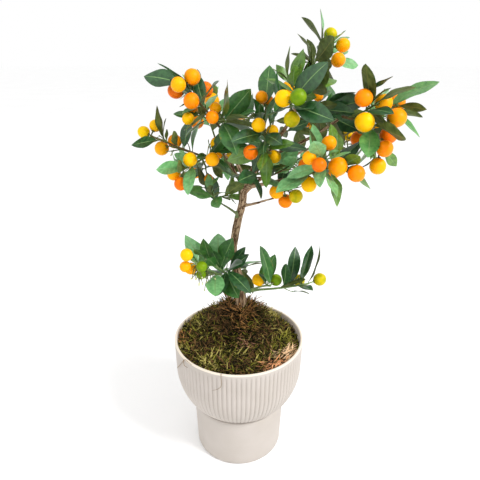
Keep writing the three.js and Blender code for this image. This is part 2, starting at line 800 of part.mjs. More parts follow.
// Pot and moss
function bowlRadius(t) {
  const swell = (1 - (1 - t) ** BOWL_ROUNDNESS) ** (1 / BOWL_ROUNDNESS);
  return BOWL_BASE_RADIUS + (SHOULDER_RADIUS - BOWL_BASE_RADIUS) * swell;
}

function bowlLine(inset, steps) {
  return Array.from({ length: steps + 1 }, (_, i) => {
    const t = (i / steps) ** 1.6;
    return new THREE.Vector2(bowlRadius(t) - inset, FOOT_HEIGHT + BOWL_CURVE_HEIGHT * t);
  });
}

// The inside of the pot, from the middle of its floor up to the rim, set in by a gap for the fill
function innerLine(gap) {
  const footInside = FOOT_BASE_RADIUS - WALL - 4 - gap;
  return [
    new THREE.Vector2(0, FLOOR_THICKNESS + gap),
    new THREE.Vector2(footInside, FLOOR_THICKNESS + gap),
    ...bowlLine(WALL + gap, INSIDE_STEPS),
    new THREE.Vector2(RIM_RADIUS - WALL - gap, POT_HEIGHT - RIM_LIP),
  ];
}

// A ring of points round the axis. Every second point of a ribbed ring lies down in a groove.
function plainRing({ x: radius, y: height }) {
  const count = radius > 0 ? POT_SIDES : 1;
  return Array.from({ length: count }, (_, i) => {
    const angle = (2 * Math.PI * i) / count;
    return new THREE.Vector3(radius * Math.cos(angle), radius * Math.sin(angle), height);
  });
}

function ribbedRing({ x: radius, y: height }) {
  return Array.from({ length: 2 * RIBS }, (_, i) => {
    const angle = (Math.PI * i) / RIBS;
    const reach = radius - (i % 2) * RIB_DEPTH;
    return new THREE.Vector3(reach * Math.cos(angle), reach * Math.sin(angle), height);
  });
}

// The band between two rings that may differ in their number of points
function joinRings(lower, upper, start, triangles) {
  const above = start + lower.length;
  let i = 0;
  let j = 0;
  while (i < lower.length || j < upper.length) {
    const onLower = (i + 1) / lower.length <= (j + 1) / upper.length;
    const here = start + (i % lower.length);
    const there = above + (j % upper.length);
    if (onLower) i += 1;
    else j += 1;
    const next = onLower ? start + (i % lower.length) : above + (j % upper.length);
    if (next !== here && next !== there) triangles.push(here, next, there);
  }
}

// Under the foot, up its side and the ribbed bowl, over the rim and down the inside
function makePot() {
  const rounding = FOOT_ROUNDING * (1 - Math.SQRT1_2);
  const foot = [
    new THREE.Vector2(0, 0),
    new THREE.Vector2(FOOT_BASE_RADIUS - FOOT_ROUNDING, 0),
    new THREE.Vector2(FOOT_BASE_RADIUS - rounding, rounding),
    new THREE.Vector2(FOOT_BASE_RADIUS, FOOT_ROUNDING),
    new THREE.Vector2(FOOT_TOP_RADIUS, FOOT_HEIGHT),
  ];
  const ribTop = POT_HEIGHT - RIM_BAND;
  const [bowlFoot, ...bowlSide] = bowlLine(0, BOWL_STEPS);
  const ribbed = [...bowlSide, new THREE.Vector2(RIM_RADIUS, ribTop)];
  const rim = [
    new THREE.Vector2(RIM_RADIUS, ribTop + RIB_END),
    new THREE.Vector2(RIM_RADIUS, POT_HEIGHT - RIM_LIP),
    new THREE.Vector2(RIM_RADIUS - RIM_LIP, POT_HEIGHT),
    new THREE.Vector2(RIM_RADIUS - WALL + RIM_LIP, POT_HEIGHT),
  ];
  const inside = innerLine(0).reverse();
  const rings = [
    ...[...foot, bowlFoot].map(plainRing),
    ...ribbed.map(ribbedRing),
    ...[...rim, ...inside].map(plainRing),
  ];
  const triangles = [];
  let start = 0;
  for (let r = 0; r + 1 < rings.length; r += 1) {
    joinRings(rings[r], rings[r + 1], start, triangles);
    start += rings[r].length;
  }
  const geometry = new THREE.BufferGeometry().setFromPoints(rings.flat());
  geometry.setIndex(triangles);
  return geometry;
}

function mossHeight(x, y) {
  const level = MOSS_LEVEL + MOSS_SLOPE_X * x + MOSS_SLOPE_Y * y;
  const away = Math.min(1, Math.hypot(x / MOUND_REACH_X, (y - MOUND_CENTRE_Y) / MOUND_REACH_Y));
  return level + (MOUND_RISE / 2) * (1 + Math.cos(Math.PI * away));
}

// Height of the moss, level where the trunk stands on it
function mossSurface(x, y) {
  const [seatX, seatY, seatZ] = TRUNK_COURSE[0];
  const distance = Math.hypot(x - seatX, y - seatY);
  const share = THREE.MathUtils.smoothstep(distance, SEAT_RADIUS, SEAT_RADIUS * 2);
  return THREE.MathUtils.lerp(seatZ - GAP, mossHeight(x, y), share);
}

// The fill is turned to the pot's inside. Its top then rises to the moss.
function makeFill() {
  const inside = innerLine(GAP);
  const top = inside.at(-1);
  const wall = inside.slice(0, -1).filter((point) => point.y < MOSS_LEVEL - 12);
  const edge = new THREE.Vector2(top.x - 0.6, MOSS_LEVEL - 8);
  const lid = Array.from({ length: MOSS_RINGS }, (_, i) => {
    return new THREE.Vector2(edge.x * (1 - (i + 1) / MOSS_RINGS), MOSS_LEVEL);
  });
  const rim = new THREE.Vector2(edge.x, MOSS_LEVEL);
  const geometry = new THREE.LatheGeometry([...wall, edge, rim, ...lid], POT_SIDES, Math.PI / 2);
  geometry.rotateX(Math.PI / 2);
  const places = geometry.attributes.position;
  for (let i = 0; i < places.count; i += 1) {
    if (places.getZ(i) < MOSS_LEVEL - 1) continue;
    places.setZ(i, mossSurface(places.getX(i), places.getY(i)));
  }
  return geometry;
}

// Assembly
const COLOURS = {
  pot: { color: 0xd6ccbf, roughness: 0.75 },
  moss: { color: 0x4a4a1e, roughness: 1 },
  bark: { color: 0x8d7860, roughness: 0.9 },
  foliage: { color: 0x2f6b38, roughness: 0.45 },
};

function addNode(group, name, geometry, look) {
  const mesh = new THREE.Mesh(geometry, new THREE.MeshStandardMaterial({ ...COLOURS[look], metalness: 0 }));
  mesh.name = name;
  group.add(mesh);
}

function buildTree() {
  const tree = new THREE.Group();
  addNode(tree, 'pot', toGeometry(toSolid(makePot())), 'pot');
  addNode(tree, 'moss', toGeometry(toSolid(makeFill())), 'moss');

  const limbs = growLimbs();
  let fatWood = null;
  for (const [name, limb] of limbs) {
    const isTrunk = name === 'trunk';
    const sides = isTrunk ? TRUNK_SIDES : BOUGH_SIDES;
    const rings = isTrunk ? TRUNK_RINGS : BOUGH_RINGS;
    const shape = isTrunk ? flare : undefined;
    const whole = limbSolid(limb, sides, rings, 0, shape);
    const clear = fatWood ? largestPiece(whole.subtract(fatWood)) : whole;
    addNode(tree, name, toGeometry(clear), 'bark');
    const fat = limbSolid(limb, sides, rings, GAP, shape);
    fatWood = fatWood ? fatWood.add(fat) : fat;
  }

  for (const mass of growCrown(limbs)) {
    const pieces = [
      limbSolid(mass.stem, 4, 3),
      ...mass.twigs.map((twig) => limbSolid(twig, 3, TWIG_RINGS)),
      ...mass.fruits.flatMap((fruit) => [stalkSolid(fruit), fruitSolid(fruit)]),
      ...mass.leaves.map(leafSolid),
    ];
    const joined = wasm.Manifold.union(pieces).subtract(fatWood);
    addNode(tree, mass.name, toGeometry(largestPiece(joined.simplify(FINEST))), 'foliage');
  }
  return tree;
}

export default buildTree();
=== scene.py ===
import math
from types import SimpleNamespace

import bpy
import numpy as np
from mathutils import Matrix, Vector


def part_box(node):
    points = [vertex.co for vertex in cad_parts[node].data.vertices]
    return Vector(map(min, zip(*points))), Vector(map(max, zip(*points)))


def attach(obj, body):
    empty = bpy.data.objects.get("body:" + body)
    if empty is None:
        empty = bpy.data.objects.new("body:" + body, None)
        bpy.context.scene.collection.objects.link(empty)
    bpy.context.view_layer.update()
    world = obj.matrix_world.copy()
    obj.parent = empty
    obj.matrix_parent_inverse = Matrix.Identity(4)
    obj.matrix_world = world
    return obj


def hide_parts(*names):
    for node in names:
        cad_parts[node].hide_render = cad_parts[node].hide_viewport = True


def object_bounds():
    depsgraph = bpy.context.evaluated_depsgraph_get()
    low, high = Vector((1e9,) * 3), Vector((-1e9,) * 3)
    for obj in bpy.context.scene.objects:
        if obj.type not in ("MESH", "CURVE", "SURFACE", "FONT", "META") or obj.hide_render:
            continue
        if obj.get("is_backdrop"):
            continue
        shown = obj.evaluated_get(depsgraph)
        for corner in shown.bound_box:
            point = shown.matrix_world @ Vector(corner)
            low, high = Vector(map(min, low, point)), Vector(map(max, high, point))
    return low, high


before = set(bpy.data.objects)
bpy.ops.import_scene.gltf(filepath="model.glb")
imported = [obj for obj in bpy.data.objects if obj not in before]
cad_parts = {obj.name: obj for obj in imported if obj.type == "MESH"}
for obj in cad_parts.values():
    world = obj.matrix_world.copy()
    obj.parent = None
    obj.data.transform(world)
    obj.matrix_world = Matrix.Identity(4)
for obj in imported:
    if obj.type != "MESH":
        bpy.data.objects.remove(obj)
cad_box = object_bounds()

# A kumquat tree in a ribbed pot. Sizes are millimetres, as in the part's source, and MM makes them
# metres. +Z is up, -Y faces the viewer, and the origin is the middle of the pot's underside.
MM = 0.001

# Camera
CAMERA_PLACE = (1.75, -522.3, 531.1)
CAMERA_TURNED_DOWN = 22.52
CAMERA_FOCAL_SHARE = 450 / 480
SENSOR = 36

# Pot
POT_HEIGHT = 174.4
RIM_RADIUS = 87.5
RIM_BAND = 5.5
RIM_THICKNESS = 3.4
SHOULDER_RADIUS = RIM_RADIUS - 1
FOOT_HEIGHT = 75.1
FOOT_TOP_RADIUS = 63.5
FOOT_BASE_RADIUS = 61
FOOT_ROUNDING = 3
BOWL_BASE_RADIUS = 56
BOWL_CURVE_HEIGHT = 55.8
BOWL_ROUNDNESS = 1.7
WALL = 5
RIBS = 90
RIB_DEPTH = 1.4
COLUMNS_PER_RIB = 8

# Moss and soil
GAP = 0.3
MOSS_LEVEL = 168
MOSS_SLOPE_X = -0.05
MOSS_SLOPE_Y = 0.04
MOUND_RISE = 28
MOUND_CENTRE_Y = 34
MOUND_REACH_X = 72
MOUND_REACH_Y = 62
SEAT_RADIUS = 13

# Trunk: its course up from the moss, as x, y, z and radius
TRUNK_COURSE = np.array([
    (3.2, 35, 197.7, 8.8),
    (2.5, 34, 232, 6.3),
    (-3.7, 32, 263, 5.7),
    (-7.4, 30, 288, 5.6),
    (-4.8, 28, 310, 5.6),
    (-0.8, 26, 332, 5.5),
    (4.3, 24, 353, 5.2),
    (6.8, 22, 373, 4.6),
    (9.2, 20, 385, 4.2),
])
SEAT_X, SEAT_Y, SEAT_Z, SEAT_TRUNK_RADIUS = TRUNK_COURSE[0]
TRUNK_LENGTH = 200
FLARE_LOBES = 5
FLARE_DEPTH = 0.16
FLARE_HEIGHT = 0.14

# Boughs: parent, place on it, tip, lift, side, thick and thin radius
BOUGHS = {
    "bough_left": ("trunk", 0.95, (-31, 16, 414), 0.04, 0, 2.6, 1.5),
    "bough_upper_left": ("trunk", 1, (-16, 6, 446), 0, 0.1, 2.6, 1.5),
    "bough_centre": ("trunk", 0.92, (34, -14, 424), -0.05, 0, 2.4, 1.4),
    "bough_top": ("trunk", 1, (66, 2, 474), -0.1, 0, 3.4, 1.9),
    "bough_crown_top": ("bough_top", 0.86, (74, 14, 506), 0, 0.05, 1.8, 1.4),
    "bough_right_upper": ("bough_top", 0.42, (112, -22, 468), -0.1, 0, 2.4, 1.6),
    "bough_right": ("trunk", 0.9, (86, -32, 410), -0.02, 0, 2.8, 1.5),
    "bough_low_left": ("trunk", 0.66, (-27, 21, 359), 0.05, 0, 1.8, 1.3),
    "bough_low_right": ("trunk", 0.74, (42, 10, 366), -0.04, 0, 2.2, 1.4),
    "bough_back": ("trunk", 0.97, (42, 82, 428), 0.08, 0, 2.8, 1.6),
    "bough_back_left": ("trunk", 0.88, (-24, 74, 414), 0.08, 0, 2.6, 1.5),
    "bough_back_right": ("trunk", 0.84, (84, 62, 414), 0.08, 0, 2.6, 1.5),
}


def spray(tip, leaves, leaf, leaf_seed, fruit=0, ripe=(), fruit_seed=0, rise=0.3, breadth=0.4):
    """One twig of a mass: its tip, its leaves and their length, and its fruits, from green 0 to orange 1.

    rise is how strongly the leaves point up, and breadth their width as a share of their length.
    """
    return SimpleNamespace(**locals())


# Masses of foliage: bough, place on it, sprays. A spray gives its tip, number of leaves, length of
# leaf, seed of the leaves, width of fruit, ripeness of each fruit and seed of the fruits.
FOLIAGE = {
    "foliage_left": ("bough_left", 1, [
        spray((-106, 28, 439), 6, 42, 45136, 15.5, (0.55, 0.5), 725),
        spray((-83, 22, 428), 6, 46, 62174, 17, (0.7, 0.8), 5272, rise=0.7),
        spray((-66, 10, 402), 7, 40, 6106, 16, (0.95, 0.65, 0.6), 1500),
        spray((-30, 5, 423), 6, 40, 41368, 16.5, (0.6, 0.7), 9870),
        spray((-42, 45, 393), 4, 38, 19210, 12, (0.8,), 4901),
    ]),
    "foliage_upper_left": ("bough_upper_left", 1, [
        spray((-58, 5, 498), 7, 44, 44845, 17.5, (0.72, 0.8, 0.93), 6992),
        spray((-56, 25, 487), 6, 42, 12144, 17.5, (0.96, 0.98), 7500),
        spray((-46, 15, 467), 6, 42, 70454, 14, (0.55, 0.85), 9133, rise=0.1),
        spray((-13, 0, 460), 8, 48, 52103, 14, (0.9, 0.65), 4248, breadth=0.5),
    ]),
    "foliage_centre": ("bough_centre", 1, [
        spray((28, -20, 450), 7, 42, 82575, 15, (0.6, 0.55), 364),
        spray((28, -35, 436), 7, 40, 78077, 15.5, (0.98, 0.6), 8873),
        spray((31, 10, 474), 6, 44, 2427, 13.5, (0.75, 0.9), 2184),
    ]),
    "foliage_upper": ("bough_top", 1, [
        spray((53, -55, 486), 7, 46, 45546, 17, (0.55, 0.1, 0.3), 1754),
        spray((52, -20, 505), 8, 43, 82952),
        spray((77, -10, 497), 8, 44, 86980, 11, (0.8, 0.8), 8063),
        spray((95, -10, 474), 8, 42, 24890, 12, (0.98,), 5786),
    ]),
    "foliage_top": ("bough_crown_top", 1, [
        spray((100, 30, 538), 8, 48, 25554, 15, (0.3, 0.7), 2539, breadth=0.37),
        spray((107, 30, 524), 6, 46, 81350, 15.5, (0.8,), 6263, breadth=0.37),
        spray((86, 45, 524), 6, 42, 65197, breadth=0.37),
    ]),
    "foliage_upper_right": ("bough_right_upper", 1, [
        spray((142, -40, 483), 7, 50, 28980, 18, (0.7, 0.85), 174),
        spray((170, -20, 479), 8, 52, 74046, 19.5, (0.9,), 8128, breadth=0.32),
        spray((147, -45, 462), 8, 50, 13604, 20.5, (0.8, 0.55), 1270),
        spray((153, -45, 437), 6, 40, 22583, 18.5, (0.9, 0.7, 0.98), 9302),
        spray((144, -10, 441), 6, 42, 6069, 18, (0.99,), 8301),
    ]),
    "foliage_right": ("bough_right", 1, [
        spray((113, -60, 422), 5, 40, 41386, 18.5, (0.85, 0.8), 2841),
        spray((84, -75, 434), 8, 50, 62749, 14.5, (0.96, 0.8, 0.7), 8242, breadth=0.36),
        spray((75, -50, 412), 6, 42, 48588, 16.5, (0.6, 0.95), 802),
    ]),
    "foliage_inner": ("trunk", 1, [
        spray((27, -25, 408), 7, 42, 20380),
        spray((56, -30, 416), 8, 40, 6627),
        spray((21, 50, 397), 7, 40, 63033),
    ]),
    "foliage_low_left": ("bough_low_left", 1, [
        spray((-34, 15, 371), 6, 40, 12905, rise=0.4),
        spray((-15, 30, 364), 5, 38, 40509, rise=0.4),
    ]),
    "foliage_low_right": ("bough_low_right", 1, [
        spray((56, 0, 380), 4, 38, 8483, 16.5, (0.3, 0.92, 0.65), 3686),
    ]),
    "foliage_base_left": ("trunk", 0.16, [
        spray((-56, -35, 303), 6, 46, 8001, 14.5, (0.58, 0.63, 0.7), 1950, rise=0.9, breadth=0.52),
        spray((-40, -25, 299), 6, 46, 73076, 13, (0.1, 0.15), 695, rise=0.9, breadth=0.5),
        spray((-16, -10, 278), 8, 42, 26975, rise=0.4),
        spray((10, 62, 245), 6, 44, 48728, rise=0.4),
    ]),
    "foliage_base_right": ("trunk", 0.085, [
        spray((41, -5, 252), 5, 48, 3452, 16, (0.1, 0.6), 4103, rise=1.5, breadth=0.38),
        spray((89, -10, 258), 6, 48, 31373, 17, (0.35, 0.2), 6212, rise=1.5, breadth=0.38),
    ]),
    "foliage_back": ("bough_back", 1, [
        spray((15, 95, 459), 6, 46, 83301, 19, (0.7, 0.8), 87),
        spray((59, 120, 472), 6, 46, 76787, 19, (0.7,), 88),
        spray((88, 135, 432), 6, 46, 63966, 19, (0.6, 0.8), 89),
        spray((33, 120, 404), 6, 44, 81269, 19, (0.8,), 90),
        spray((81, 110, 384), 5, 42, 53873, 19, (0.7,), 91),
    ]),
    "foliage_back_left": ("bough_back_left", 1, [
        spray((-43, 75, 470), 6, 44, 88484, 19, (0.7, 0.85), 94),
        spray((-61, 105, 381), 6, 42, 27505, 19, (0.8,), 95),
        spray((-20, 135, 386), 6, 44, 12343, 19, (0.6, 0.8), 96),
    ]),
    "foliage_back_right": ("bough_back_right", 1, [
        spray((128, 95, 464), 6, 46, 74778, 19, (0.7, 0.8), 101),
        spray((172, 55, 457), 6, 46, 26886, 19, (0.7,), 102),
        spray((154, 105, 421), 6, 44, 57120, 19, (0.6, 0.8), 103),
        spray((122, 110, 392), 6, 44, 37451, 19, (0.9,), 104),
    ]),
}

# Growth. Where a name has two values, a draw falls between them, and radii go from thick to thin.
STEM_SHARE = 0.42
STEM_RADII = (1.6, 1.3)
FIRST_TWIG = 0.35
TWIG_RADII = (1.25, 0.9)
TWIG_SIDE = (-0.16, 0.16)
TWIG_LIFT = (-0.16, 0.1)
TWIG_TRIES = 12
TWIG_CLEAR = 1.6
FRUIT_STEP = 0.1
FIRST_FRUIT = 0.55
FRUIT_SIZES = (0.94, 1.06)
FRUIT_ONWARD = 0.45
FRUIT_DOWNWARD = 0.15
STALK_LENGTHS = (2, 13)
FRUIT_TRIES = 14
FRUIT_CLEAR = 0.5
FRUIT_WOOD_CLEAR = 0.6
FRUIT_OWN_TWIG_SHARE = 0.92
LOWEST_FRUIT = 214
FIRST_LEAF = 0.34
LEAF_TURN = (-0.7, 0.7)
LEAF_LEAN = (30, 85)
LEAF_LEAN_LOSS = 28
LEAF_RISE = (-0.6, 0.6)
LEAF_ROLL = (-0.8, 0.8)
LEAF_LENGTHS = (0.62, 1.2)
LEAF_WIDTHS = (0.85, 1.15)
LEAF_BENDS = (-0.05, 0.35)
LEAF_FOLD = 0.22
LEAF_TRIES = 14
LEAF_CLEAR = 1.2
# What a leaf keeps clear of its own wood and other wood, and of leaves of its twig, its mass and others
LEAF_ROOM = (1.2, 2.4, 2, 3, 5)
LOWEST_LEAF = 213
PETIOLE_SHARE = 0.08
PETIOLE_WIDTH = 0.06
GOLDEN_ANGLE = math.radians(137.5)
UP = np.array([0.0, 0.0, 1.0])
NUDGE = np.array([1e-6, 0.0, 0.0])
# Leaves turn their upper face out of the crown and to the light, apart from a small share
# The face turned from the light takes the underside's look, whose olive is darkened as painted shade
LIGHT_FROM = np.array([0.1, -0.65, 0.6])
OUTWARD_SHARE = 0.5
CROWN_AXIS = np.array([10.0, 20.0])
UNDERSIDE_SHARE = 0.06


def chance(*keys):
    """A number from 0 to 1 that depends on the keys alone."""
    mix = 0x9E3779B9
    for key in keys:
        mix = ((mix ^ (key & 0xFFFFFFFF)) * 0x85EBCA6B) & 0xFFFFFFFF
        mix ^= mix >> 13
        mix = (mix * 0xC2B2AE35) & 0xFFFFFFFF
        mix ^= mix >> 16
    return mix / 2**32


def between(low, high, *keys):
    return low + (high - low) * chance(*keys)


def picker(*keys):
    """Draws numbers between two bounds. Its third value says what the number is for."""
    return lambda low, high, what: between(low, high, *keys, what)


def around(turn, away=1.0, height=0.0):
    """A place, or a direction, at a turn around the height's axis."""
    return np.array([away * math.cos(turn), away * math.sin(turn), height])


def unit(vector):
    return vector / np.sqrt((vector * vector).sum(-1, keepdims=True))


def sides_of(way):
    """Directions across and over a way."""
    across = unit(np.cross(way, UP) + NUDGE)
    return across, np.cross(way, across)


def smooth(points, t):
    """Places on a smooth course through all the points but the first and the last."""
    u = np.clip(np.asarray(t, float), 0, 1) * (len(points) - 3)
    i = np.minimum(u.astype(int), len(points) - 4)
    f = (u - i)[..., None]
    return (
        points[i] * 0.5 * (-f + 2 * f**2 - f**3)
        + points[i + 1] * 0.5 * (2 - 5 * f**2 + 3 * f**3)
        + points[i + 2] * 0.5 * (f + 4 * f**2 - 3 * f**3)
        + points[i + 3] * 0.5 * (-(f**2) + f**3)
    )


def steps(limb, spacing, least=2):
    """Shares along a limb that lie about so many millimetres apart."""
    return np.linspace(0, 1, max(least, math.ceil(limb.length / spacing) + 1))


class Limb:
    """A limb along a quadratic curve, with a radius that tapers evenly."""

    def __init__(self, start, end, lift, side, thick, thin):
        span = end - start
        self.length = math.sqrt(span @ span)
        across, _ = sides_of(span)
        self.start = start
        self.middle = (start + end) / 2 + UP * (lift * self.length) + across * (side * self.length)
        self.end = end
        self.thick = thick
        self.thin = thin

    def at(self, t):
        t = np.asarray(t, float)[..., None]
        return self.start * (1 - t) ** 2 + self.middle * 2 * t * (1 - t) + self.end * t * t

    def along(self, t):
        t = np.asarray(t, float)[..., None]
        return unit((self.middle - self.start) * (1 - t) + (self.end - self.middle) * t)

    def radius(self, t):
        return self.thick + (self.thin - self.thick) * np.asarray(t, float)


class Trunk:
    """The trunk passes smoothly through the points of its course."""

    length = TRUNK_LENGTH
    points = TRUNK_COURSE[[0, *range(len(TRUNK_COURSE)), -1], :3]

    def at(self, t):
        return smooth(self.points, t)

    def along(self, t):
        t = np.asarray(t, float)
        return unit(self.at(np.minimum(t + 0.02, 1)) - self.at(np.maximum(t - 0.02, 0)))

    def radius(self, t):
        return np.interp(t, np.linspace(0, 1, len(TRUNK_COURSE)), TRUNK_COURSE[:, 3])


def grow_limbs():
    limbs = {"trunk": Trunk()}
    for name, (parent, place, tip, lift, side, thick, thin) in BOUGHS.items():
        foot = limbs[parent].at(place)
        limbs[name] = Limb(foot, np.array(tip, float), lift, side, thick, thin)
    return limbs


class Wood:
    """Every limb and twig, as places a few millimetres apart, that leaves and fruits keep clear of."""

    def __init__(self):
        self.points = np.zeros((0, 3))
        self.radii = np.zeros(0)
        self.owners = np.zeros((0, 2), int)

    def add(self, limb, mass, twig):
        t = steps(limb, 4, 4)
        self.points = np.vstack([self.points, limb.at(t)])
        self.radii = np.append(self.radii, limb.radius(t))
        self.owners = np.vstack([self.owners, np.full((len(t), 2), (mass, twig))])

    def room(self, limb, start=0.25):
        t = steps(limb, 4, 4)
        t = t[t > start]
        apart = np.linalg.norm(limb.at(t)[:, None] - self.points[None], axis=2)
        return (apart - self.radii[None] - limb.radius(t)[:, None]).min()


def grow_twig(stem, tip, mass, index, share, wood):
    """The twig of a spray leaves the stem and ends at the spray's tip, bent so that it keeps clear."""
    twigs = []
    for attempt in range(TWIG_TRIES):
        pick = picker(mass, index, attempt)
        bend = (pick(*TWIG_LIFT, 6), pick(*TWIG_SIDE, 5))
        twigs.append(Limb(stem.at(share), np.array(tip, float), *bend, *TWIG_RADII))
    return max(twigs, key=lambda twig: min(wood.room(twig), TWIG_CLEAR))


class Mass:
    """A stem, a twig for each spray, and what grows on them."""

    def __init__(self, number, name, host, place, sprays, wood):
        self.number = number
        self.name = name
        self.sprays = sprays
        for spray in sprays:
            spray.tint = int(chance(spray.leaf_seed, 7) * len(LEAF_TINTS))
        start = host.at(place)
        middle = np.mean([spray.tip for spray in sprays], axis=0)
        end = start + (middle - start) * STEM_SHARE
        self.stem = Limb(start, end, 0, 0, *STEM_RADII)
        last = max(1, len(sprays) - 1)
        self.twigs = []
        for index, spray in enumerate(sprays):
            share = 1 if len(sprays) == 1 else FIRST_TWIG + (1 - FIRST_TWIG) * index / last
            self.twigs.append(grow_twig(self.stem, spray.tip, number, index, share, wood))
        wood.add(self.stem, number, -1)
        for index, twig in enumerate(self.twigs):
            wood.add(twig, number, index)
        self.fine_twigs = []
        self.fruits = []
        self.leaves = []


def hang_fruit(twig, spray, index, attempt):
    """A fruit hangs from the end of its twig on a stalk that points any way but back."""
    seed = spray.fruit_seed
    pick = picker(seed, 1, index, attempt)
    place = max(FIRST_FRUIT, 1 - FRUIT_STEP * index)
    height = pick(-1, 1, 0)
    any_way = around(pick(0, 2 * math.pi, 1), math.sqrt(1 - height * height), height)
    way = unit(any_way + FRUIT_ONWARD * twig.along(place) - FRUIT_DOWNWARD * UP)
    radius = spray.fruit / 2 * pick(*FRUIT_SIZES, 2)
    stalk = pick(*STALK_LENGTHS, 3)
    root = twig.at(place)
    return SimpleNamespace(root=root, way=way, radius=radius, centre=root + way * (stalk + radius),
                           ripe=spray.ripe[index], seed=seed + index)


def room_to_fruits(points, fruits):
    """The clear distance of each point from each fruit."""
    centres = np.array([fruit.centre for fruit in fruits])
    radii = np.array([fruit.radius for fruit in fruits])
    return np.linalg.norm(points[:, None] - centres[None], axis=2) - radii


def fruit_is_clear(fruit, mass, twig, wood, fruits):
    if fruit.centre[2] - fruit.radius <= LOWEST_FRUIT:
        return False
    apart = np.linalg.norm(wood.points - fruit.centre, axis=1) - wood.radii
    own = (wood.owners == (mass, twig)).all(axis=1)
    least = np.where(own, fruit.radius * FRUIT_OWN_TWIG_SHARE, fruit.radius + FRUIT_WOOD_CLEAR)
    if (apart < least).any():
        return False
    return not fruits or room_to_fruits(fruit.centre[None], fruits).min() >= fruit.radius + FRUIT_CLEAR


def place_leaf(twig, spray, owner, index, attempt):
    """A leaf stands on its twig at a steady turn from the one below, and leans toward the light."""
    seed = spray.leaf_seed
    count = spray.leaves
    pick = picker(seed, 2, index, attempt)
    outer = (index + 0.6) / count if index < count - 1 else 1.0
    t = FIRST_LEAF + (1 - FIRST_LEAF) * outer
    forward = twig.along(t)
    across, over = sides_of(forward)
    turn = 2 * math.pi * chance(seed, 2, 99) + GOLDEN_ANGLE * index + pick(*LEAF_TURN, 0)
    outward = across * math.cos(turn) - over * math.sin(turn)
    lean = math.radians(pick(*LEAF_LEAN, 1) - LEAF_LEAN_LOSS * outer)
    way = forward * math.cos(lean) + outward * math.sin(lean)
    way = unit(way + UP * (spray.rise + pick(*LEAF_RISE, 2)))
    face = forward * 0.8 + UP * 0.7
    flat_face = unit(face - way * (face @ way) - 1e-6 * over)
    roll = pick(*LEAF_ROLL, 3)
    normal = flat_face * math.cos(roll) + np.cross(way, flat_face) * math.sin(roll)
    length = spray.leaf * pick(*LEAF_LENGTHS, 4)
    width = length * spray.breadth * pick(*LEAF_WIDTHS, 5)
    out_of_crown = np.append(unit(twig.at(t)[:2] - CROWN_AXIS) * OUTWARD_SHARE, 0)
    faces_away = normal @ (LIGHT_FROM + out_of_crown) < 0
    turned_over = faces_away and chance(seed, 2, index, attempt, 7) > UNDERSIDE_SHARE
    leaf = SimpleNamespace(root=twig.at(t), way=way, normal=normal, side=np.cross(way, normal), owner=owner,
                           turned_over=turned_over, length=length, width=width,
                           bend=pick(*LEAF_BENDS, 6), seed=seed * 64 + index, tint=spray.tint)
    leaf.spots = leaf_spots(leaf)
    leaf.middle = leaf.root + leaf.way * leaf.length / 2 - leaf.normal * (leaf.length * leaf.bend / 4)
    return leaf


def leaf_profile(s):
    """Half the width of a leaf, from stalk to tip, as a share of its greatest."""
    u = np.clip((s - PETIOLE_SHARE) / (1 - PETIOLE_SHARE), 0, 1)
    return np.where(s < PETIOLE_SHARE, PETIOLE_WIDTH, np.maximum(0, np.sin(math.pi * u**0.9)) ** 0.75)


SPOT_ROWS = 0.1 + 0.08 * np.arange(12)
SPOT_COLUMNS = np.array([-1, -0.6, -0.2, 0.2, 0.6, 1])
SPOT_S = np.repeat(SPOT_ROWS, len(SPOT_COLUMNS))
SPOT_F = np.tile(SPOT_COLUMNS, len(SPOT_ROWS))
# A leaf is tried against what lies within its reach and this much more. Its foot isn't, up to these shares.
WOOD_NEAR = 10
LEAF_NEAR = 34
FREE_OF_WOOD = 0.3
FREE_OF_FRUIT = 0.15
FREE_OF_TWINS = 0.35


def leaf_spots(leaf):
    """Spots all over a leaf, close enough together that nothing passes between them."""
    half = leaf.width / 2 * leaf_profile(SPOT_S)
    lift = LEAF_FOLD * half * abs(SPOT_F) - leaf.length * leaf.bend * SPOT_S**2
    return (
        leaf.root
        + leaf.way * (leaf.length * SPOT_S)[:, None]
        + leaf.normal * lift[:, None]
        + leaf.side * (half * SPOT_F)[:, None]
    )


def leaf_is_clear(leaf, wood, fruits, leaves, room):
    """True where a leaf keeps its distance from wood, fruits and the leaves before it."""
    own_wood, other_wood, same_twig, same_mass, other_mass = room
    mass, twig = leaf.owner
    spots = leaf.spots
    if spots[:, 2].min() < LOWEST_LEAF:
        return False
    near = ((wood.points - leaf.middle) ** 2).sum(1) < (leaf.length * 0.6 + WOOD_NEAR) ** 2
    apart = np.linalg.norm(spots[:, None] - wood.points[near][None], axis=2) - wood.radii[near]
    owners = wood.owners[near]
    own = (owners[:, 0] == mass) & ((owners[:, 1] == twig) | (owners[:, 1] == -1))
    if (apart[SPOT_S > FREE_OF_WOOD][:, own] < own_wood).any() or (apart[:, ~own] < other_wood).any():
        return False
    if (room_to_fruits(spots[SPOT_S > FREE_OF_FRUIT], fruits) < LEAF_CLEAR).any():
        return False
    for other in leaves:
        between_middles = other.middle - leaf.middle
        if between_middles @ between_middles >= (leaf.length * 0.5 + LEAF_NEAR) ** 2:
            continue
        twins = other.owner == leaf.owner
        least = same_twig if twins else same_mass if other.owner[0] == mass else other_mass
        mine = spots[SPOT_S > FREE_OF_TWINS] if twins else spots
        if ((mine[:, None] - other.spots[None]) ** 2).sum(2).min() < least * least:
            return False
    return True


def grow_leaves(mass, twig, spray, owner, wood, fruits, leaves, room=LEAF_ROOM, space=None):
    """The leaves of one twig, each in the first of its tries that suits."""
    for number in range(spray.leaves):
        for attempt in range(LEAF_TRIES):
            leaf = place_leaf(twig, spray, owner, number, attempt)
            if space and (not inside(leaf.spots, space) or hides_a_fruit(leaf.spots, fruits)):
                continue
            if leaf_is_clear(leaf, wood, fruits, leaves, room):
                leaves.append(leaf)
                mass.leaves.append(leaf)
                break


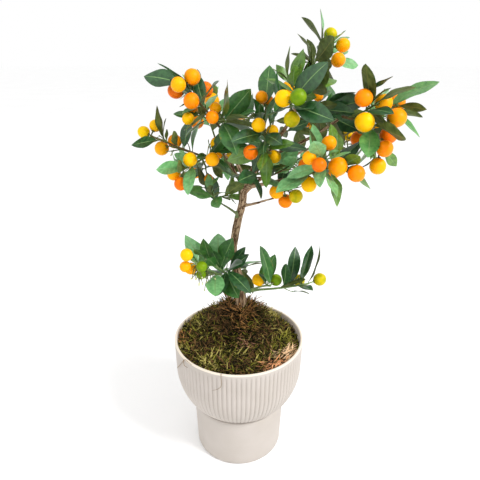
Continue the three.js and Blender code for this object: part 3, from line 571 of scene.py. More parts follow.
def grow_crown(limbs):
    """Twigs first, then fruits on every mass, then the leaves in the room that is left."""
    wood = Wood()
    for limb in limbs.values():
        wood.add(limb, -1, -1)
    masses = []
    for number, (name, (host, place, sprays)) in enumerate(FOLIAGE.items()):
        masses.append(Mass(number, name, limbs[host], place, sprays, wood))
    fruits = []
    leaves = []
    for mass in masses:
        for index, spray in enumerate(mass.sprays):
            for number in range(len(spray.ripe)):
                for attempt in range(FRUIT_TRIES):
                    fruit = hang_fruit(mass.twigs[index], spray, number, attempt)
                    if fruit_is_clear(fruit, mass.number, index, wood, fruits):
                        fruits.append(fruit)
                        mass.fruits.append(fruit)
                        break
    for mass in masses:
        for index, spray in enumerate(mass.sprays):
            grow_leaves(mass, mass.twigs[index], spray, (mass.number, index), wood, fruits, leaves)
    return masses, wood, fruits, leaves


# Finer twigs and young leaves, which stand in the same space as the masses of the source
TWIGLETS = 2
TWIGLET_TRIES = 8
TWIGLET_PLACES = (0.4, 0.95)
TWIGLET_SPREAD = (0.5, 1.1)
TWIGLET_LENGTHS = (10, 22)
TWIGLET_BEND = (-0.12, 0.12)
TWIGLET_RADII = (0.75, 0.5)
TWIGLET_CLEAR = 1.2
TWIGLET_FRUIT_CLEAR = 1.5
TWIGLET_LEAVES = 3
# Twigs are numbered from 0 in their mass, and twiglets from here
FIRST_TWIGLET = 100
YOUNG_LEAF_SHARE = 0.56
YOUNG_LEAF_ROOM = (1.0, 1.6, 1.2, 2, 3)
SPACE_MARGIN = 2.0


def node_space(name):
    """The box of a CAD node, in millimetres, with a small margin."""
    low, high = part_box(name)
    return np.array(low) / MM - SPACE_MARGIN, np.array(high) / MM + SPACE_MARGIN


def inside(points, space):
    low, high = space
    return bool((points > low).all() and (points < high).all())


def hides_a_fruit(spots, fruits):
    """True where a leaf would stand before a fruit, seen from the front."""
    eye = np.array(CAMERA_PLACE)
    for fruit in fruits:
        way = fruit.centre - eye
        far = np.linalg.norm(way)
        way = way / far
        along = (spots - eye) @ way
        aside = np.linalg.norm(spots - eye - along[:, None] * way, axis=1)
        if ((along < far) & (aside * far / along < fruit.radius * 0.9)).any():
            return True
    return False


def grow_twiglet(mass, index, number, wood, fruits, space):
    twig = mass.twigs[index]
    for attempt in range(TWIGLET_TRIES):
        pick = picker(mass.number, index, number, attempt)
        t = pick(*TWIGLET_PLACES, 20)
        forward = twig.along(t)
        across, over = sides_of(forward)
        turn = pick(0, 2 * math.pi, 21)
        outward = across * math.cos(turn) - over * math.sin(turn)
        way = unit(forward * 0.8 + outward * pick(*TWIGLET_SPREAD, 22) + UP * 0.35)
        tip = twig.at(t) + way * pick(*TWIGLET_LENGTHS, 23)
        bend = (pick(*TWIGLET_BEND, 24), pick(*TWIGLET_BEND, 25))
        limb = Limb(twig.at(t), tip, *bend, *TWIGLET_RADII)
        if not inside(limb.at(np.array([0.5, 1])), space) or wood.room(limb, 0.35) < TWIGLET_CLEAR:
            continue
        if room_to_fruits(limb.at(np.linspace(0, 1, 8)), fruits).min() > TWIGLET_FRUIT_CLEAR:
            return limb
    return None


def grow_finer(masses, wood, fruits, leaves):
    """Short twigs with young leaves, where there is room for them."""
    for mass in masses:
        space = node_space(mass.name)
        for index, spray in enumerate(mass.sprays):
            for number in range(TWIGLETS):
                limb = grow_twiglet(mass, index, number, wood, fruits, space)
                if limb is None:
                    continue
                owner = (mass.number, FIRST_TWIGLET + index * TWIGLETS + number)
                wood.add(limb, *owner)
                mass.fine_twigs.append(limb)
                young = SimpleNamespace(**vars(spray))
                young.leaf_seed = spray.leaf_seed * 16 + number
                young.leaves = TWIGLET_LEAVES
                young.leaf = spray.leaf * YOUNG_LEAF_SHARE
                grow_leaves(mass, limb, young, owner, wood, fruits, leaves, YOUNG_LEAF_ROOM, space)


# Materials
def linear(*colour):
    """A screen colour from 0 to 255 as the plain amounts of light that Blender takes."""
    return tuple(((value / 255 + 0.055) / 1.055) ** 2.4 for value in colour) + (1.0,)


def finish(name, colour, other, rough, patch, relief=0.0, grain=1.0, shine=0.2, stretch=1.0):
    """A surface whose colour wanders between two shades in patches, over a fine relief.

    patch is the size of the patches and grain that of the relief, in millimetres. relief is the
    relief's depth, also in millimetres, shine how strongly the surface mirrors, and stretch draws
    patches and relief out along the height.
    """
    look = bpy.data.materials.new(name)
    look.use_nodes = True
    nodes = look.node_tree.nodes
    shader = nodes["Principled BSDF"]

    def fill(node, **inputs):
        """Sets a node's inputs to values, or joins them to other nodes' outputs."""
        for key, value in inputs.items():
            socket = node.inputs[key.replace("_", " ")]
            if isinstance(value, bpy.types.NodeSocket):
                look.node_tree.links.new(value, socket)
            else:
                socket.default_value = value
        return node.outputs[0]

    def make(kind, **inputs):
        return fill(nodes.new("ShaderNode" + kind), **inputs)

    objects_own = nodes.new("ShaderNodeTexCoord").outputs["Object"]
    place = make("Mapping", Scale=(1, 1, 1 / stretch), Vector=objects_own)
    patches = make("TexNoise", Scale=1 / (patch * MM), Detail=3, Vector=place)
    shades = nodes.new("ShaderNodeValToRGB")
    for end, share, shade in ((0, 0.35, colour), (1, 0.65, other)):
        shades.color_ramp.elements[end].position = share
        shades.color_ramp.elements[end].color = linear(*shade)
    gloss = make("MapRange", To_Min=rough - 0.06, To_Max=min(1, rough + 0.06), Value=patches)
    fill(shader, Base_Color=fill(shades, Fac=patches), Roughness=gloss, Specular_IOR_Level=shine)
    if relief:
        bumps = make("TexNoise", Scale=1 / (grain * MM), Detail=2, Vector=place)
        fill(shader, Normal=make("Bump", Strength=1, Distance=relief * MM, Height=bumps))
    return look


# Leaf faces, dealt out by spray: shade, lighter shade
LEAF_TINTS = [
    ((39, 86, 33), (59, 108, 44)),
    ((71, 130, 60), (100, 158, 81)),
    ((96, 154, 94), (126, 184, 119)),
    ((73, 114, 35), (102, 143, 50)),
    ((29, 68, 33), (49, 92, 48)),
]
LEAF_RIB, LEAF_UNDER, LEAF_UNDER_RIB = range(len(LEAF_TINTS), len(LEAF_TINTS) + 3)


def leaf_looks():
    return [
        *(finish(f"leaf_{number}", *tint, 0.34, 4, 0.08, 1.6, 0.6) for number, tint in enumerate(LEAF_TINTS)),
        finish("leaf_rib", (112, 146, 92), (130, 164, 106), 0.5, 6),
        # The underside: its own olive, darkened as painted shade
        finish("leaf_under", (66, 80, 34), (100, 114, 58), 0.55, 8, 0.05, 1.2),
        finish("leaf_under_rib", (108, 112, 58), (124, 126, 70), 0.6, 6),
    ]


# Fruit: greatest ripeness of each shade, colour, colour of its patches
FRUIT_SHADES = [
    (0.15, (92, 130, 8), (122, 152, 16)),
    (0.35, (172, 168, 8), (214, 190, 12)),
    (0.52, (250, 200, 0), (253, 210, 4)),
    (0.62, (253, 186, 0), (255, 198, 2)),
    (0.73, (253, 168, 0), (255, 180, 2)),
    (0.83, (252, 150, 0), (254, 162, 2)),
    (0.93, (248, 134, 0), (252, 146, 2)),
    (1.01, (232, 108, 0), (242, 122, 2)),
]
CALYX = len(FRUIT_SHADES)


def fruit_looks():
    return [
        *(finish(f"fruit_{number}", *shades, 0.32, 7, 0.12, 0.55, 0.12)
          for number, (_, *shades) in enumerate(FRUIT_SHADES)),
        finish("calyx", (92, 98, 40), (116, 112, 58), 0.7, 2),
    ]


def wood_looks():
    return [
        finish("bark", (164, 138, 110), (188, 164, 134), 0.85, 6, 0.25, 0.8, stretch=4),
        finish("bark_side", (118, 94, 70), (138, 112, 86), 0.9, 5, 0.25, 0.8, stretch=4),
        finish("bark_fissure", (76, 58, 42), (92, 72, 54), 0.95, 5, 0.2, 0.8, stretch=4),
        finish("twig_brown", (84, 70, 40), (104, 88, 54), 0.75, 5, 0.1, 0.9, stretch=2),
        finish("twig_green", (78, 92, 44), (98, 112, 58), 0.6, 5, 0.06, 0.9),
        finish("twig_pale", (110, 138, 84), (134, 158, 104), 0.55, 5, 0.06, 0.9),
        finish("bark_young", (92, 108, 70), (120, 132, 92), 0.75, 5, 0.12, 0.8),
    ]


BARK, BARK_SIDE, BARK_FISSURE, TWIG_BROWN, TWIG_GREEN, TWIG_PALE, BARK_YOUNG = range(7)


# Meshes
def add_object(name, data):
    made = bpy.data.objects.new(name, data)
    bpy.context.collection.objects.link(made)
    return made


def show(name, mesh, materials, stands_for, slot):
    """The object of a mesh, which rides on the part and hides the CAD nodes that it stands for."""
    for look in materials:
        mesh.materials.append(look)
    piece = add_object(name, mesh)
    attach(piece, "root")
    if stands_for:
        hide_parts(*stands_for)


class Shape:
    """Points and faces gathered for one piece, each face with the number of its material."""

    def __init__(self):
        self.points = []
        self.faces = []
        self.looks = []
        self.count = 0

    def add(self, points, faces, look=0):
        points = np.asarray(points).reshape(-1, 3)
        self.faces += [[corner + self.count for corner in face] for face in np.asarray(faces).tolist()]
        self.looks += np.broadcast_to(look, len(faces)).tolist()
        self.points.append(points)
        self.count += len(points)

    def add_rings(self, rings, look=0, ends=None):
        """A closed skin over rings of points. They turn left around the way from first to last."""
        rows, sides = rings.shape[:2]
        first = np.arange(self.count, self.count + sides)
        last = first + (rows - 1) * sides
        self.add(rings, grid_faces(rows, sides, True), look)
        self.faces += [first[::-1].tolist(), last.tolist()]
        self.looks += ends or [look, look]

    def mesh(self, name):
        mesh = bpy.data.meshes.new(name)
        mesh.from_pydata((np.vstack(self.points) * MM).tolist(), [], self.faces)
        mesh.polygons.foreach_set("material_index", self.looks)
        mesh.shade_smooth()
        mesh.validate()
        return mesh

    def piece(self, name, materials, stands_for, slot, crease=180):
        mesh = self.mesh(name)
        if crease < 180:
            mesh.set_sharp_from_angle(angle=math.radians(crease))
        show(name, mesh, materials, stands_for, slot)


def circle(sides):
    """Even angles around a ring."""
    return np.linspace(0, 2 * math.pi, sides, endpoint=False)


def grid_faces(rows, columns, wrap=False):
    """Quads over rows of points. Wrapped rows close into rings."""
    row, column = np.mgrid[0:rows - 1, 0:columns if wrap else columns - 1]
    beside = (column + 1) % columns
    corners = [row * columns + column, row * columns + beside]
    corners += [(row + 1) * columns + beside, (row + 1) * columns + column]
    return np.stack(corners, -1).reshape(-1, 4)


def course_frames(ways):
    """Directions across and over a course, each turned as little as possible from the one before."""
    across = np.array([1.0, 0, 0]) if abs(ways[0][2]) > 0.7 else UP.copy()
    frames = []
    for way in ways:
        across = unit(across - way * (across @ way))
        frames.append((across, np.cross(way, across)))
    return np.array(frames)


def ring_points(centres, across, over, radii, angle):
    """Rings of points around centres. across and over are directions, radii one value for each point."""
    return (
        centres
        + across * (radii * np.cos(angle))[..., None]
        + over * (radii * np.sin(angle))[..., None]
    )


def add_tube(shape, centres, ways, radii, sides, look=0):
    """A round limb with closed ends. radii has one value for each ring, or one for each point."""
    across, over = course_frames(ways).swapaxes(0, 1)[:, :, None]
    radii = np.broadcast_to(np.asarray(radii).reshape(len(centres), -1), (len(centres), sides))
    shape.add_rings(ring_points(centres[:, None], across, over, radii, circle(sides)), look)


def add_limb(shape, limb, sides, spacing, look=0, extend=0.0, swell=1.0):
    t = steps(limb, spacing, 3)
    centres = limb.at(t)
    ways = limb.along(t)
    centres[-1] += ways[-1] * extend
    add_tube(shape, centres, ways, limb.radius(t) * swell, sides, look)


def lattice(cells, seed):
    """A steady pseudo-random value from 0 to 1 for each cell of a lattice."""
    mix = cells[..., 0] * 374761393 + cells[..., 1] * 668265263 + cells[..., 2] * 2147483647 + seed * 40503
    mix = (mix ^ (mix >> 13)) * 1274126177 & 0xFFFFFFFF
    mix = (mix ^ (mix >> 16)) * 2246822519 & 0xFFFFFFFF
    return ((mix ^ (mix >> 15)) & 0xFFFFFF) / 0xFFFFFF


def noise(points, size, seed):
    """Smooth noise from 0 to 1, with lumps of about the given size."""
    places = np.asarray(points) / size
    cells = np.floor(places).astype(np.int64)
    share = places - cells
    share = share * share * (3 - 2 * share)
    total = 0
    for corner in np.ndindex(2, 2, 2):
        corner = np.array(corner)
        weight = np.where(corner, share, 1 - share).prod(-1)
        total = total + weight * lattice(cells + corner, seed)
    return total


# Leaves
LEAF_ROWS = np.array([0, 0.04, 0.08, 0.11, 0.17, 0.25, 0.34, 0.43, 0.52, 0.61, 0.7, 0.79, 0.87, 0.94, 1])
LEAF_COLUMNS = np.array([-1, -0.72, -0.38, -0.045, 0.045, 0.38, 0.72, 1])
BLADE_THICKNESS = 0.35
PETIOLE_THICKNESS = 1.0
TIP_HALF_WIDTH = 0.18
# How far toward the tip a leaf is widest (1 is its middle), and how round its ends are (less is rounder)
LEAF_FULLEST = 1.12
LEAF_BLUNTNESS = (0.68, 0.95)


def leaf_pattern():
    """Faces of one leaf, upper then lower, and which of them lie on its rib and on its stalk."""
    rows, columns = len(LEAF_ROWS), len(LEAF_COLUMNS)
    top = np.arange(rows * columns).reshape(rows, columns)
    under = top.copy()
    under[1:-1, 1:-1] = rows * columns + np.arange((rows - 2) * (columns - 2)).reshape(rows - 2, -1)
    faces = grid_faces(rows, columns)
    below = under.reshape(-1)[faces][:, ::-1]
    row, column = np.mgrid[0:rows - 1, 0:columns - 1].reshape(2, -1)
    middle = column == (columns - 2) // 2
    stalk = LEAF_ROWS[row] < PETIOLE_SHARE
    return np.vstack([faces, below]), middle, stalk


def leaf_points(leaf):
    """Points of one leaf: its top, and then the inner points of its underside."""
    pick = picker(leaf.seed, 3)
    s = LEAF_ROWS[:, None]
    f = LEAF_COLUMNS[None]
    u = np.clip((s - PETIOLE_SHARE) / (1 - PETIOLE_SHARE), 0, 1)
    outline = np.sin(math.pi * u**LEAF_FULLEST) ** pick(*LEAF_BLUNTNESS, 5)
    half = leaf.width / 2 * np.where(s < PETIOLE_SHARE, PETIOLE_WIDTH, outline)
    half = np.maximum(half, TIP_HALF_WIDTH)
    twist = pick(-0.45, 0.45, 0) * s
    side = leaf.side * np.cos(twist)[..., None] + leaf.normal * np.sin(twist)[..., None]
    normal = np.cross(side, leaf.way)
    fold = pick(0.1, 0.34, 1)
    wave = 0.09 * half * np.sin(2 * math.pi * (pick(1.2, 2.2, 2) * s + pick(0, 1, 3)) + 1.3 * np.sign(f))
    lift = fold * half * abs(f) ** 1.3 - 0.12 * half * abs(f) ** 3 + wave * f**2
    vein = 0.12 * np.maximum(0, 1 - abs(f) / 0.3) * (leaf_profile(s) > 0.3)
    sway = pick(-0.07, 0.07, 4) * leaf.length * s**2
    spine = (
        leaf.root
        + leaf.way * (leaf.length * s)
        - leaf.normal * (leaf.length * leaf.bend * s * s)
        + leaf.side * sway
    )
    top = spine[:, None] + side * (half * f)[..., None] + normal * (lift - vein)[..., None]
    depth = BLADE_THICKNESS + (PETIOLE_THICKNESS - BLADE_THICKNESS) * np.exp(-((s / 0.1) ** 2))
    depth = depth + 0.35 * np.maximum(0, 1 - abs(f) / 0.1) * (1 - s)
    under = top - normal * depth[..., None]
    return np.vstack([top.reshape(-1, 3), under[1:-1, 1:-1].reshape(-1, 3)])


def make_leaves(masses):
    faces, middle, stalk = leaf_pattern()
    looks = leaf_looks()
    for mass in masses:
        shape = Shape()
        for leaf in mass.leaves:
            # shady is the underside's look, darkened as painted shade
            sunny = np.where(stalk | middle, LEAF_RIB, leaf.tint)
            shady = np.where(stalk, LEAF_RIB, np.where(middle, LEAF_UNDER_RIB, LEAF_UNDER))
            sides = (shady, sunny) if leaf.turned_over else (sunny, shady)
            shape.add(leaf_points(leaf), faces, np.concatenate(sides))
        name = mass.name.replace("foliage", "leaves")
        shape.piece(name, looks, [mass.name], "foliage", crease=60)


# Fruits
FRUIT_RINGS = 20
FRUIT_SIDES = 28
STALK_RADIUS = 0.8
SEPALS = 5
# Rings of the calyx: height past the stalk's end, and share of its full width
CALYX_RINGS = np.array([(-0.9, 0.5), (-0.3, 1.0), (0.5, 0.9)])


def add_fruit(shape, fruit, shade):
    """A round fruit, a little dimpled at the stalk and at the tip, from stalk to tip."""
    polar = np.linspace(0.02, math.pi - 0.02, FRUIT_RINGS)[:, None]
    angle = circle(FRUIT_SIDES)
    length = between(0.98, 1.06, fruit.seed, 4, 0)
    radius = 1 - 0.09 * np.exp(-((polar / 0.3) ** 2)) - 0.04 * np.exp(-(((math.pi - polar) / 0.16) ** 2))
    ball = fruit.radius * radius * (1 + 0.012 * np.sin(3 * angle + fruit.seed) * np.sin(polar))
    spine = fruit.centre - fruit.way * (ball * length * np.cos(polar))[..., None]
    shape.add_rings(ring_points(spine, *sides_of(fruit.way), ball * np.sin(polar), angle), shade)


def add_calyx(shape, fruit):
    """A small green star where the stalk meets the fruit."""
    heights, shares = CALYX_RINGS.T
    reach = np.where(np.arange(2 * SEPALS) % 2, 0.16, 0.34) * fruit.radius
    spine = fruit.centre + fruit.way * (heights - fruit.radius)[:, None, None]
    rings = ring_points(spine, *sides_of(fruit.way), shares[:, None] * reach, circle(2 * SEPALS))
    shape.add_rings(rings, CALYX)


def make_fruits(masses):
    looks = fruit_looks()
    for mass in masses:
        if not mass.fruits:
            continue
        shape = Shape()
        for fruit in mass.fruits:
            shade = next(n for n, (ripest, *_) in enumerate(FRUIT_SHADES) if fruit.ripe <= ripest)
            add_fruit(shape, fruit, shade)
            add_calyx(shape, fruit)
        shape.piece(mass.name.replace("foliage", "fruits"), looks, [mass.name], "foliage", crease=70)


# Twigs, stalks and buds. The low sprays are this year's, on thick pale shoots.
YOUNG_WOOD = ("foliage_base_left", "foliage_base_right")
YOUNG_SWELL = 1.35
LONG_TWIG = 60


def make_twigs(masses):
    looks = wood_looks()
    shape = Shape()
    for mass in masses:
        low = mass.name in YOUNG_WOOD
        old, young, swell = (TWIG_PALE, TWIG_PALE, YOUNG_SWELL) if low else (TWIG_BROWN, TWIG_GREEN, 1)
        add_limb(shape, mass.stem, 8, 3, old, swell=swell)
        for twig in mass.twigs:
            add_limb(shape, twig, 8, 3, old if twig.length > LONG_TWIG else young, 0.6, swell)
        for twig in mass.fine_twigs:
            add_limb(shape, twig, 6, 3, young, 0.4)
        for fruit in mass.fruits:
            foot = fruit.centre - fruit.way * fruit.radius * 0.95
            stalk = Limb(fruit.root, foot, 0.05, 0.03, STALK_RADIUS, STALK_RADIUS * 1.25)
            add_limb(shape, stalk, 6, 2, young)
        for leaf in mass.leaves:
            bud = leaf.root + leaf.normal * 1.4 + leaf.way * 1.2
            add_limb(shape, Limb(leaf.root, bud, 0, 0, 0.7, 0.25), 5, 1, young)
    shape.piece("twigs", looks, [mass.name for mass in masses], "bark")


# Trunk and boughs
BARK_SIDES = 20
BARK_VOXEL = 0.75
FISSURE_DEPTH = 0.75
BOUGH_FISSURE_SHARE = 0.4
FISSURE_LENGTH = 11
FISSURE_WIDTH = 1.5
# Lengths along the limbs are counted from a new thousand for each, so that they never meet
LIMB_APART = 1000
# How deep the bark is cut where it shows its side, and its fissures
SIDE_CUT = 0.4
FISSURE_CUT = 0.62
COLLAR_SWELL = 0.45
COLLAR_LENGTH = 6
# Boughs that are still green
YOUNG_BOUGHS = ("bough_low_left", "bough_left")
# Knots left by pruned shoots: place on the trunk, angle round it, radius
KNOTS = [(0.72, 250, 3.4), (0.55, 60, 2.6), (0.36, 300, 2.8), (0.2, 160, 3.0), (0.84, 120, 2.4)]


def bare_wood(limbs):
    """The trunk and boughs joined into one skin, with a collar where each bough leaves its parent."""
    shape = Shape()
    for name, limb in limbs.items():
        t = steps(limb, 2)
        ways = limb.along(t)
        radii = limb.radius(t)[:, None]
        if name == "trunk":
            ways[0] = UP
            share = np.maximum(0, 1 - t / FLARE_HEIGHT)[:, None]
            radii = radii * (1 + FLARE_DEPTH * share**2 * np.cos(FLARE_LOBES * circle(BARK_SIDES)))
        else:
            radii = radii * (1 + COLLAR_SWELL * np.exp(-t * limb.length / COLLAR_LENGTH))[:, None]
        add_tube(shape, limb.at(t), ways, radii, BARK_SIDES)
    for place, turn, radius in KNOTS:
        out = unit(around(math.radians(turn), 1, 0.25))
        foot = limbs["trunk"].at(place)
        knot = foot + out * (limbs["trunk"].radius(place) + 0.5)
        add_tube(shape, np.array([foot, knot]), np.array([out, out]), [radius, radius * 0.75], 12)
    return shape.mesh("bare_wood")


def one_skin(mesh):
    """One even skin around overlapping limbs, smoothed where they meet."""
    piece = add_object(mesh.name, mesh)
    skin = piece.modifiers.new("skin", "REMESH")
    skin.mode = "VOXEL"
    skin.voxel_size = BARK_VOXEL * MM
    piece.modifiers.new("ease", "SMOOTH").iterations = 2
    done = bpy.data.meshes.new_from_object(piece.evaluated_get(bpy.context.evaluated_depsgraph_get()))
    bpy.data.objects.remove(piece)
    return done


def bark_relief(points, limbs):
    """How deep the bark is cut at each point, with fissures along the nearest limb, and that limb."""
    samples = []
    frames = []
    lengths = []
    for limb in limbs.values():
        t = steps(limb, 1.5)
        samples.append(limb.at(t))
        frames.append(course_frames(limb.along(t)))
        lengths.append(t * limb.length + LIMB_APART * len(lengths))
    samples = np.vstack(samples)
    frames = np.vstack(frames)
    lengths = np.concatenate(lengths)
    # The points are taken in parts, because all at once would fill the memory
    parts = np.array_split(points, len(points) // 2000 + 1)
    nearest = [((part[:, None] - samples[None]) ** 2).sum(2).argmin(1) for part in parts]
    nearest = np.concatenate(nearest)
    away = points - samples[nearest]
    across, over = (away[None] * frames[nearest].swapaxes(0, 1)).sum(2) / FISSURE_WIDTH
    flat = np.stack([across, over, lengths[nearest] / FISSURE_LENGTH], 1)
    ridge = 1 - abs(2 * noise(flat, 1, 11) - 1)
    fine = noise(flat * (2.1, 2.1, 2.6), 1, 12)
    return np.clip(ridge**3 * 0.8 + fine * 0.3, 0, 1), (lengths[nearest] + 1) // LIMB_APART


def read(values, what, number, kind=float):
    """One value, or a row of them, for each item of a mesh's list."""
    found = np.zeros(len(values) * number, kind)
    values.foreach_get(what, found)
    return found


def make_bark(limbs):
    mesh = one_skin(bare_wood(limbs))
    points = read(mesh.vertices, "co", 3).reshape(-1, 3) / MM
    normals = read(mesh.vertices, "normal", 3).reshape(-1, 3)
    relief, owner = bark_relief(points, limbs)
    on_trunk = points[:, 2] < TRUNK_COURSE[-1, 2]
    depth = FISSURE_DEPTH * np.where(on_trunk, 1, BOUGH_FISSURE_SHARE) * relief
    points = points - normals * depth[:, None]
    points[:, 2] = np.maximum(points[:, 2], SEAT_Z)
    mesh.vertices.foreach_set("co", (points * MM).ravel())
    mesh.update()
    first = read(mesh.loops, "vertex_index", 1, int)[read(mesh.polygons, "loop_start", 1, int)]
    cut = relief[first]
    looks = np.where(cut > FISSURE_CUT, BARK_FISSURE, np.where(cut > SIDE_CUT, BARK_SIDE, BARK))
    looks[np.isin(owner[first], [list(limbs).index(name) for name in YOUNG_BOUGHS])] = BARK_YOUNG
    mesh.polygons.foreach_set("material_index", looks)
    mesh.shade_smooth()
    show("bark", mesh, wood_looks(), limbs, "bark")


# Pot
BOWL_ROWS = 44
FOOT_ROWS = 10
INSIDE_ROWS = 14
INSIDE_DEPTH = 24
RIM_ROWS = 5
# Looks of the pot: its glaze, the rim lighter as a painted highlight, and the inside wall lighter as painted
# light over the shade it lies in
GLAZE, RIM, INSIDE = range(3)


def bowl_radius(t):
    swell = (1 - (1 - t) ** BOWL_ROUNDNESS) ** (1 / BOWL_ROUNDNESS)
    return BOWL_BASE_RADIUS + (SHOULDER_RADIUS - BOWL_BASE_RADIUS) * swell


def rib_shape(phase):
    """Height of a rounded rib, from 0 in the groove to 1 on its crest."""
    return (np.sqrt(1 - 0.92 * (2 * phase - 1) ** 2) - math.sqrt(0.08)) / (1 - math.sqrt(0.08))


def pot_profile():
    """Rows of radius, height and strength of the ribs, from under the foot up, over the rim and down."""
    top = FOOT_HEIGHT + BOWL_CURVE_HEIGHT
    band = POT_HEIGHT - RIM_BAND
    lip = RIM_RADIUS - RIM_THICKNESS
    rows = [(0.5, 0, 0), (30, 0, 0), (FOOT_BASE_RADIUS - FOOT_ROUNDING, 0, 0)]
    for angle in np.radians((30, 60, 90)):
        radius = FOOT_BASE_RADIUS - FOOT_ROUNDING * (1 - math.sin(angle))
        rows.append((radius, FOOT_ROUNDING * (1 - math.cos(angle)), 0))
    for share in np.linspace(0, 1, FOOT_ROWS + 1)[1:]:
        radius = FOOT_BASE_RADIUS + (FOOT_TOP_RADIUS - FOOT_BASE_RADIUS) * share
        rows.append((radius, FOOT_ROUNDING + (FOOT_HEIGHT - FOOT_ROUNDING - 0.8) * share, 0))
    rows += [(FOOT_TOP_RADIUS - 0.8, FOOT_HEIGHT, 0), (BOWL_BASE_RADIUS + 1.5, FOOT_HEIGHT + 0.1, 0)]
    for share in np.linspace(0.02, 1, BOWL_ROWS) ** 1.6:
        rows.append((bowl_radius(share), FOOT_HEIGHT + BOWL_CURVE_HEIGHT * share, min(1, share * 25)))
    for share in np.linspace(0, 1, 9)[1:]:
        height = top + (band - top) * share
        radius = SHOULDER_RADIUS + (RIM_RADIUS - SHOULDER_RADIUS) * (height - top) / (POT_HEIGHT - top)
        rows.append((radius, height, 1 if share < 0.95 else 0.5))
    rows += [
        (RIM_RADIUS - 0.15, band + 0.7, 0),
        (RIM_RADIUS, POT_HEIGHT - 1.5, 0),
        (RIM_RADIUS - 0.3, POT_HEIGHT - 0.5, 0),
        (RIM_RADIUS - 0.9, POT_HEIGHT, 0),
        (lip + 0.9, POT_HEIGHT, 0),
        (lip + 0.3, POT_HEIGHT - 0.5, 0),
        (lip, POT_HEIGHT - 1.5, 0),
    ]
    for share in np.linspace(0, 1, INSIDE_ROWS)[1:]:
        rows.append((lip - (WALL - RIM_THICKNESS) * share, POT_HEIGHT - 1.5 - INSIDE_DEPTH * share, 0))
    rows.append((0.5, POT_HEIGHT - 1.5 - INSIDE_DEPTH, 0))
    return np.array(rows)


def make_pot():
    rows = pot_profile()
    columns = RIBS * COLUMNS_PER_RIB
    groove = RIB_DEPTH * (1 - rib_shape(np.arange(columns) % COLUMNS_PER_RIB / COLUMNS_PER_RIB))
    centres = rows[:, 1, None, None] * UP
    radii = rows[:, :1] - rows[:, 2:] * groove
    rings = ring_points(centres, *np.eye(3)[:2], radii, circle(columns))
    first_of_rim = next(i for i, row in enumerate(rows) if row[1] > POT_HEIGHT - 1) - 1
    inside_rows = len(rows) - 1 - first_of_rim - RIM_ROWS
    looks = np.repeat([GLAZE] * first_of_rim + [RIM] * RIM_ROWS + [INSIDE] * inside_rows, columns)
    shape = Shape()
    shape.add_rings(rings, looks, [GLAZE, INSIDE])
    looks = [
        finish("pot_matt_glaze", (186, 178, 170), (192, 184, 177), 0.62, 40, 0.06, 0.9),
        # The rim's lighter glaze is a painted highlight
        finish("pot_rim_glaze", (226, 214, 198), (234, 222, 206), 0.5, 40, 0.06, 0.9),
        # The inside wall's lighter glaze is painted light over the shade that the moss and leaves cast
        finish("pot_inside_glaze", (228, 214, 202), (236, 224, 212), 0.55, 40, 0.06, 0.9),
    ]
    shape.piece("pot_ribbed", looks, ["pot"], "pot", crease=50)


# Moss, in tufts of narrow leaves on a mound of soil
TUFTS = 1050
TUFT_BLADES = 9
TUFT_LENGTHS = (9, 25)
TUFT_SHARE_AT_WALL = 0.45
BLADE_HALF_WIDTH = 0.74
# Size of the clumps where the blades are dealt lighter looks, a painted highlight, with darker ones between,
# painted shade
LIGHT_CLUMPS = 13
# Longer tufts that hide the trunk's foot: how many, how far around it, and their size
FOOT_TUFTS = 40
FOOT_TUFT_REACH = 13
FOOT_TUFT_SIZE = 1.15
CLUMP_SIZE = 15
CLUMP_HEIGHT = 6
ROOT_DEPTH = 1.5
SOIL_ROWS = 60
SOIL_COLUMNS = 160
SOIL_DEPTH = 20
MOSS_EDGE = 83.2
# Looks of the soil and the moss
SOIL, DEEP, OLIVE, FRESH, TIP, STRAW, RUST, BROWN, PINK, COIR = range(10)
# Patches of another colour: middle x and y, reach x and y, look
MOSS_PATCHES = [
    (64, -37, 12, 16, STRAW),
    (50, -56, 18, 12, COIR),
    (64, -6, 10, 14, FRESH),
    (9, -13, 5, 11, PINK),
    (31, 5, 15, 10, BROWN),
    (-47, -20, 12, 15, BROWN),
    (-78, -2, 8, 13, RUST),
    (-38, -52, 5, 13, TIP),
    (5, 24, 13, 22, RUST),
    (-16, 20, 13, 26, BROWN),
    (18, 52, 14, 13, RUST),
]


def moss_height(x, y):
    level = MOSS_LEVEL + MOSS_SLOPE_X * x + MOSS_SLOPE_Y * y
    away = np.minimum(1, np.hypot(x / MOUND_REACH_X, (y - MOUND_CENTRE_Y) / MOUND_REACH_Y))
    mound = level + MOUND_RISE / 2 * (1 + np.cos(math.pi * away))
    share = np.clip((np.hypot(x - SEAT_X, y - SEAT_Y) - SEAT_RADIUS) / SEAT_RADIUS, 0, 1)
    share = share * share * (3 - 2 * share)
    return (SEAT_Z - GAP) * (1 - share) + mound * share


def moss_looks():
    return [
        finish("soil", (16, 12, 5), (30, 23, 12), 0.95, 4, 0.5, 1.2),
        finish("moss_deep", (22, 20, 4), (38, 33, 10), 0.85, 6),
        finish("moss_olive", (64, 62, 14), (90, 84, 26), 0.85, 6),
        finish("moss_fresh", (118, 118, 36), (148, 142, 56), 0.8, 6),
        finish("moss_tip", (176, 164, 84), (204, 190, 112), 0.8, 6),
        finish("moss_straw", (240, 196, 146), (252, 218, 176), 0.9, 5),
        finish("moss_rust", (150, 104, 58), (186, 138, 84), 0.9, 5),
        finish("moss_brown", (92, 66, 38), (126, 94, 58), 0.9, 5),
        finish("moss_pink", (196, 138, 106), (220, 166, 132), 0.9, 5),
        finish("moss_coir", (220, 148, 98), (242, 180, 130), 0.9, 5),
    ]


# Patches of flat fibres that lie one way
PALE_FIBRE = (STRAW, COIR)
FIBRE_WAY = 0.6
# Share of a blade's length, and its breadth there, up to its tip
BLADE_ROWS = ((0, 0.8), (0.4, 1), (0.75, 0.7))
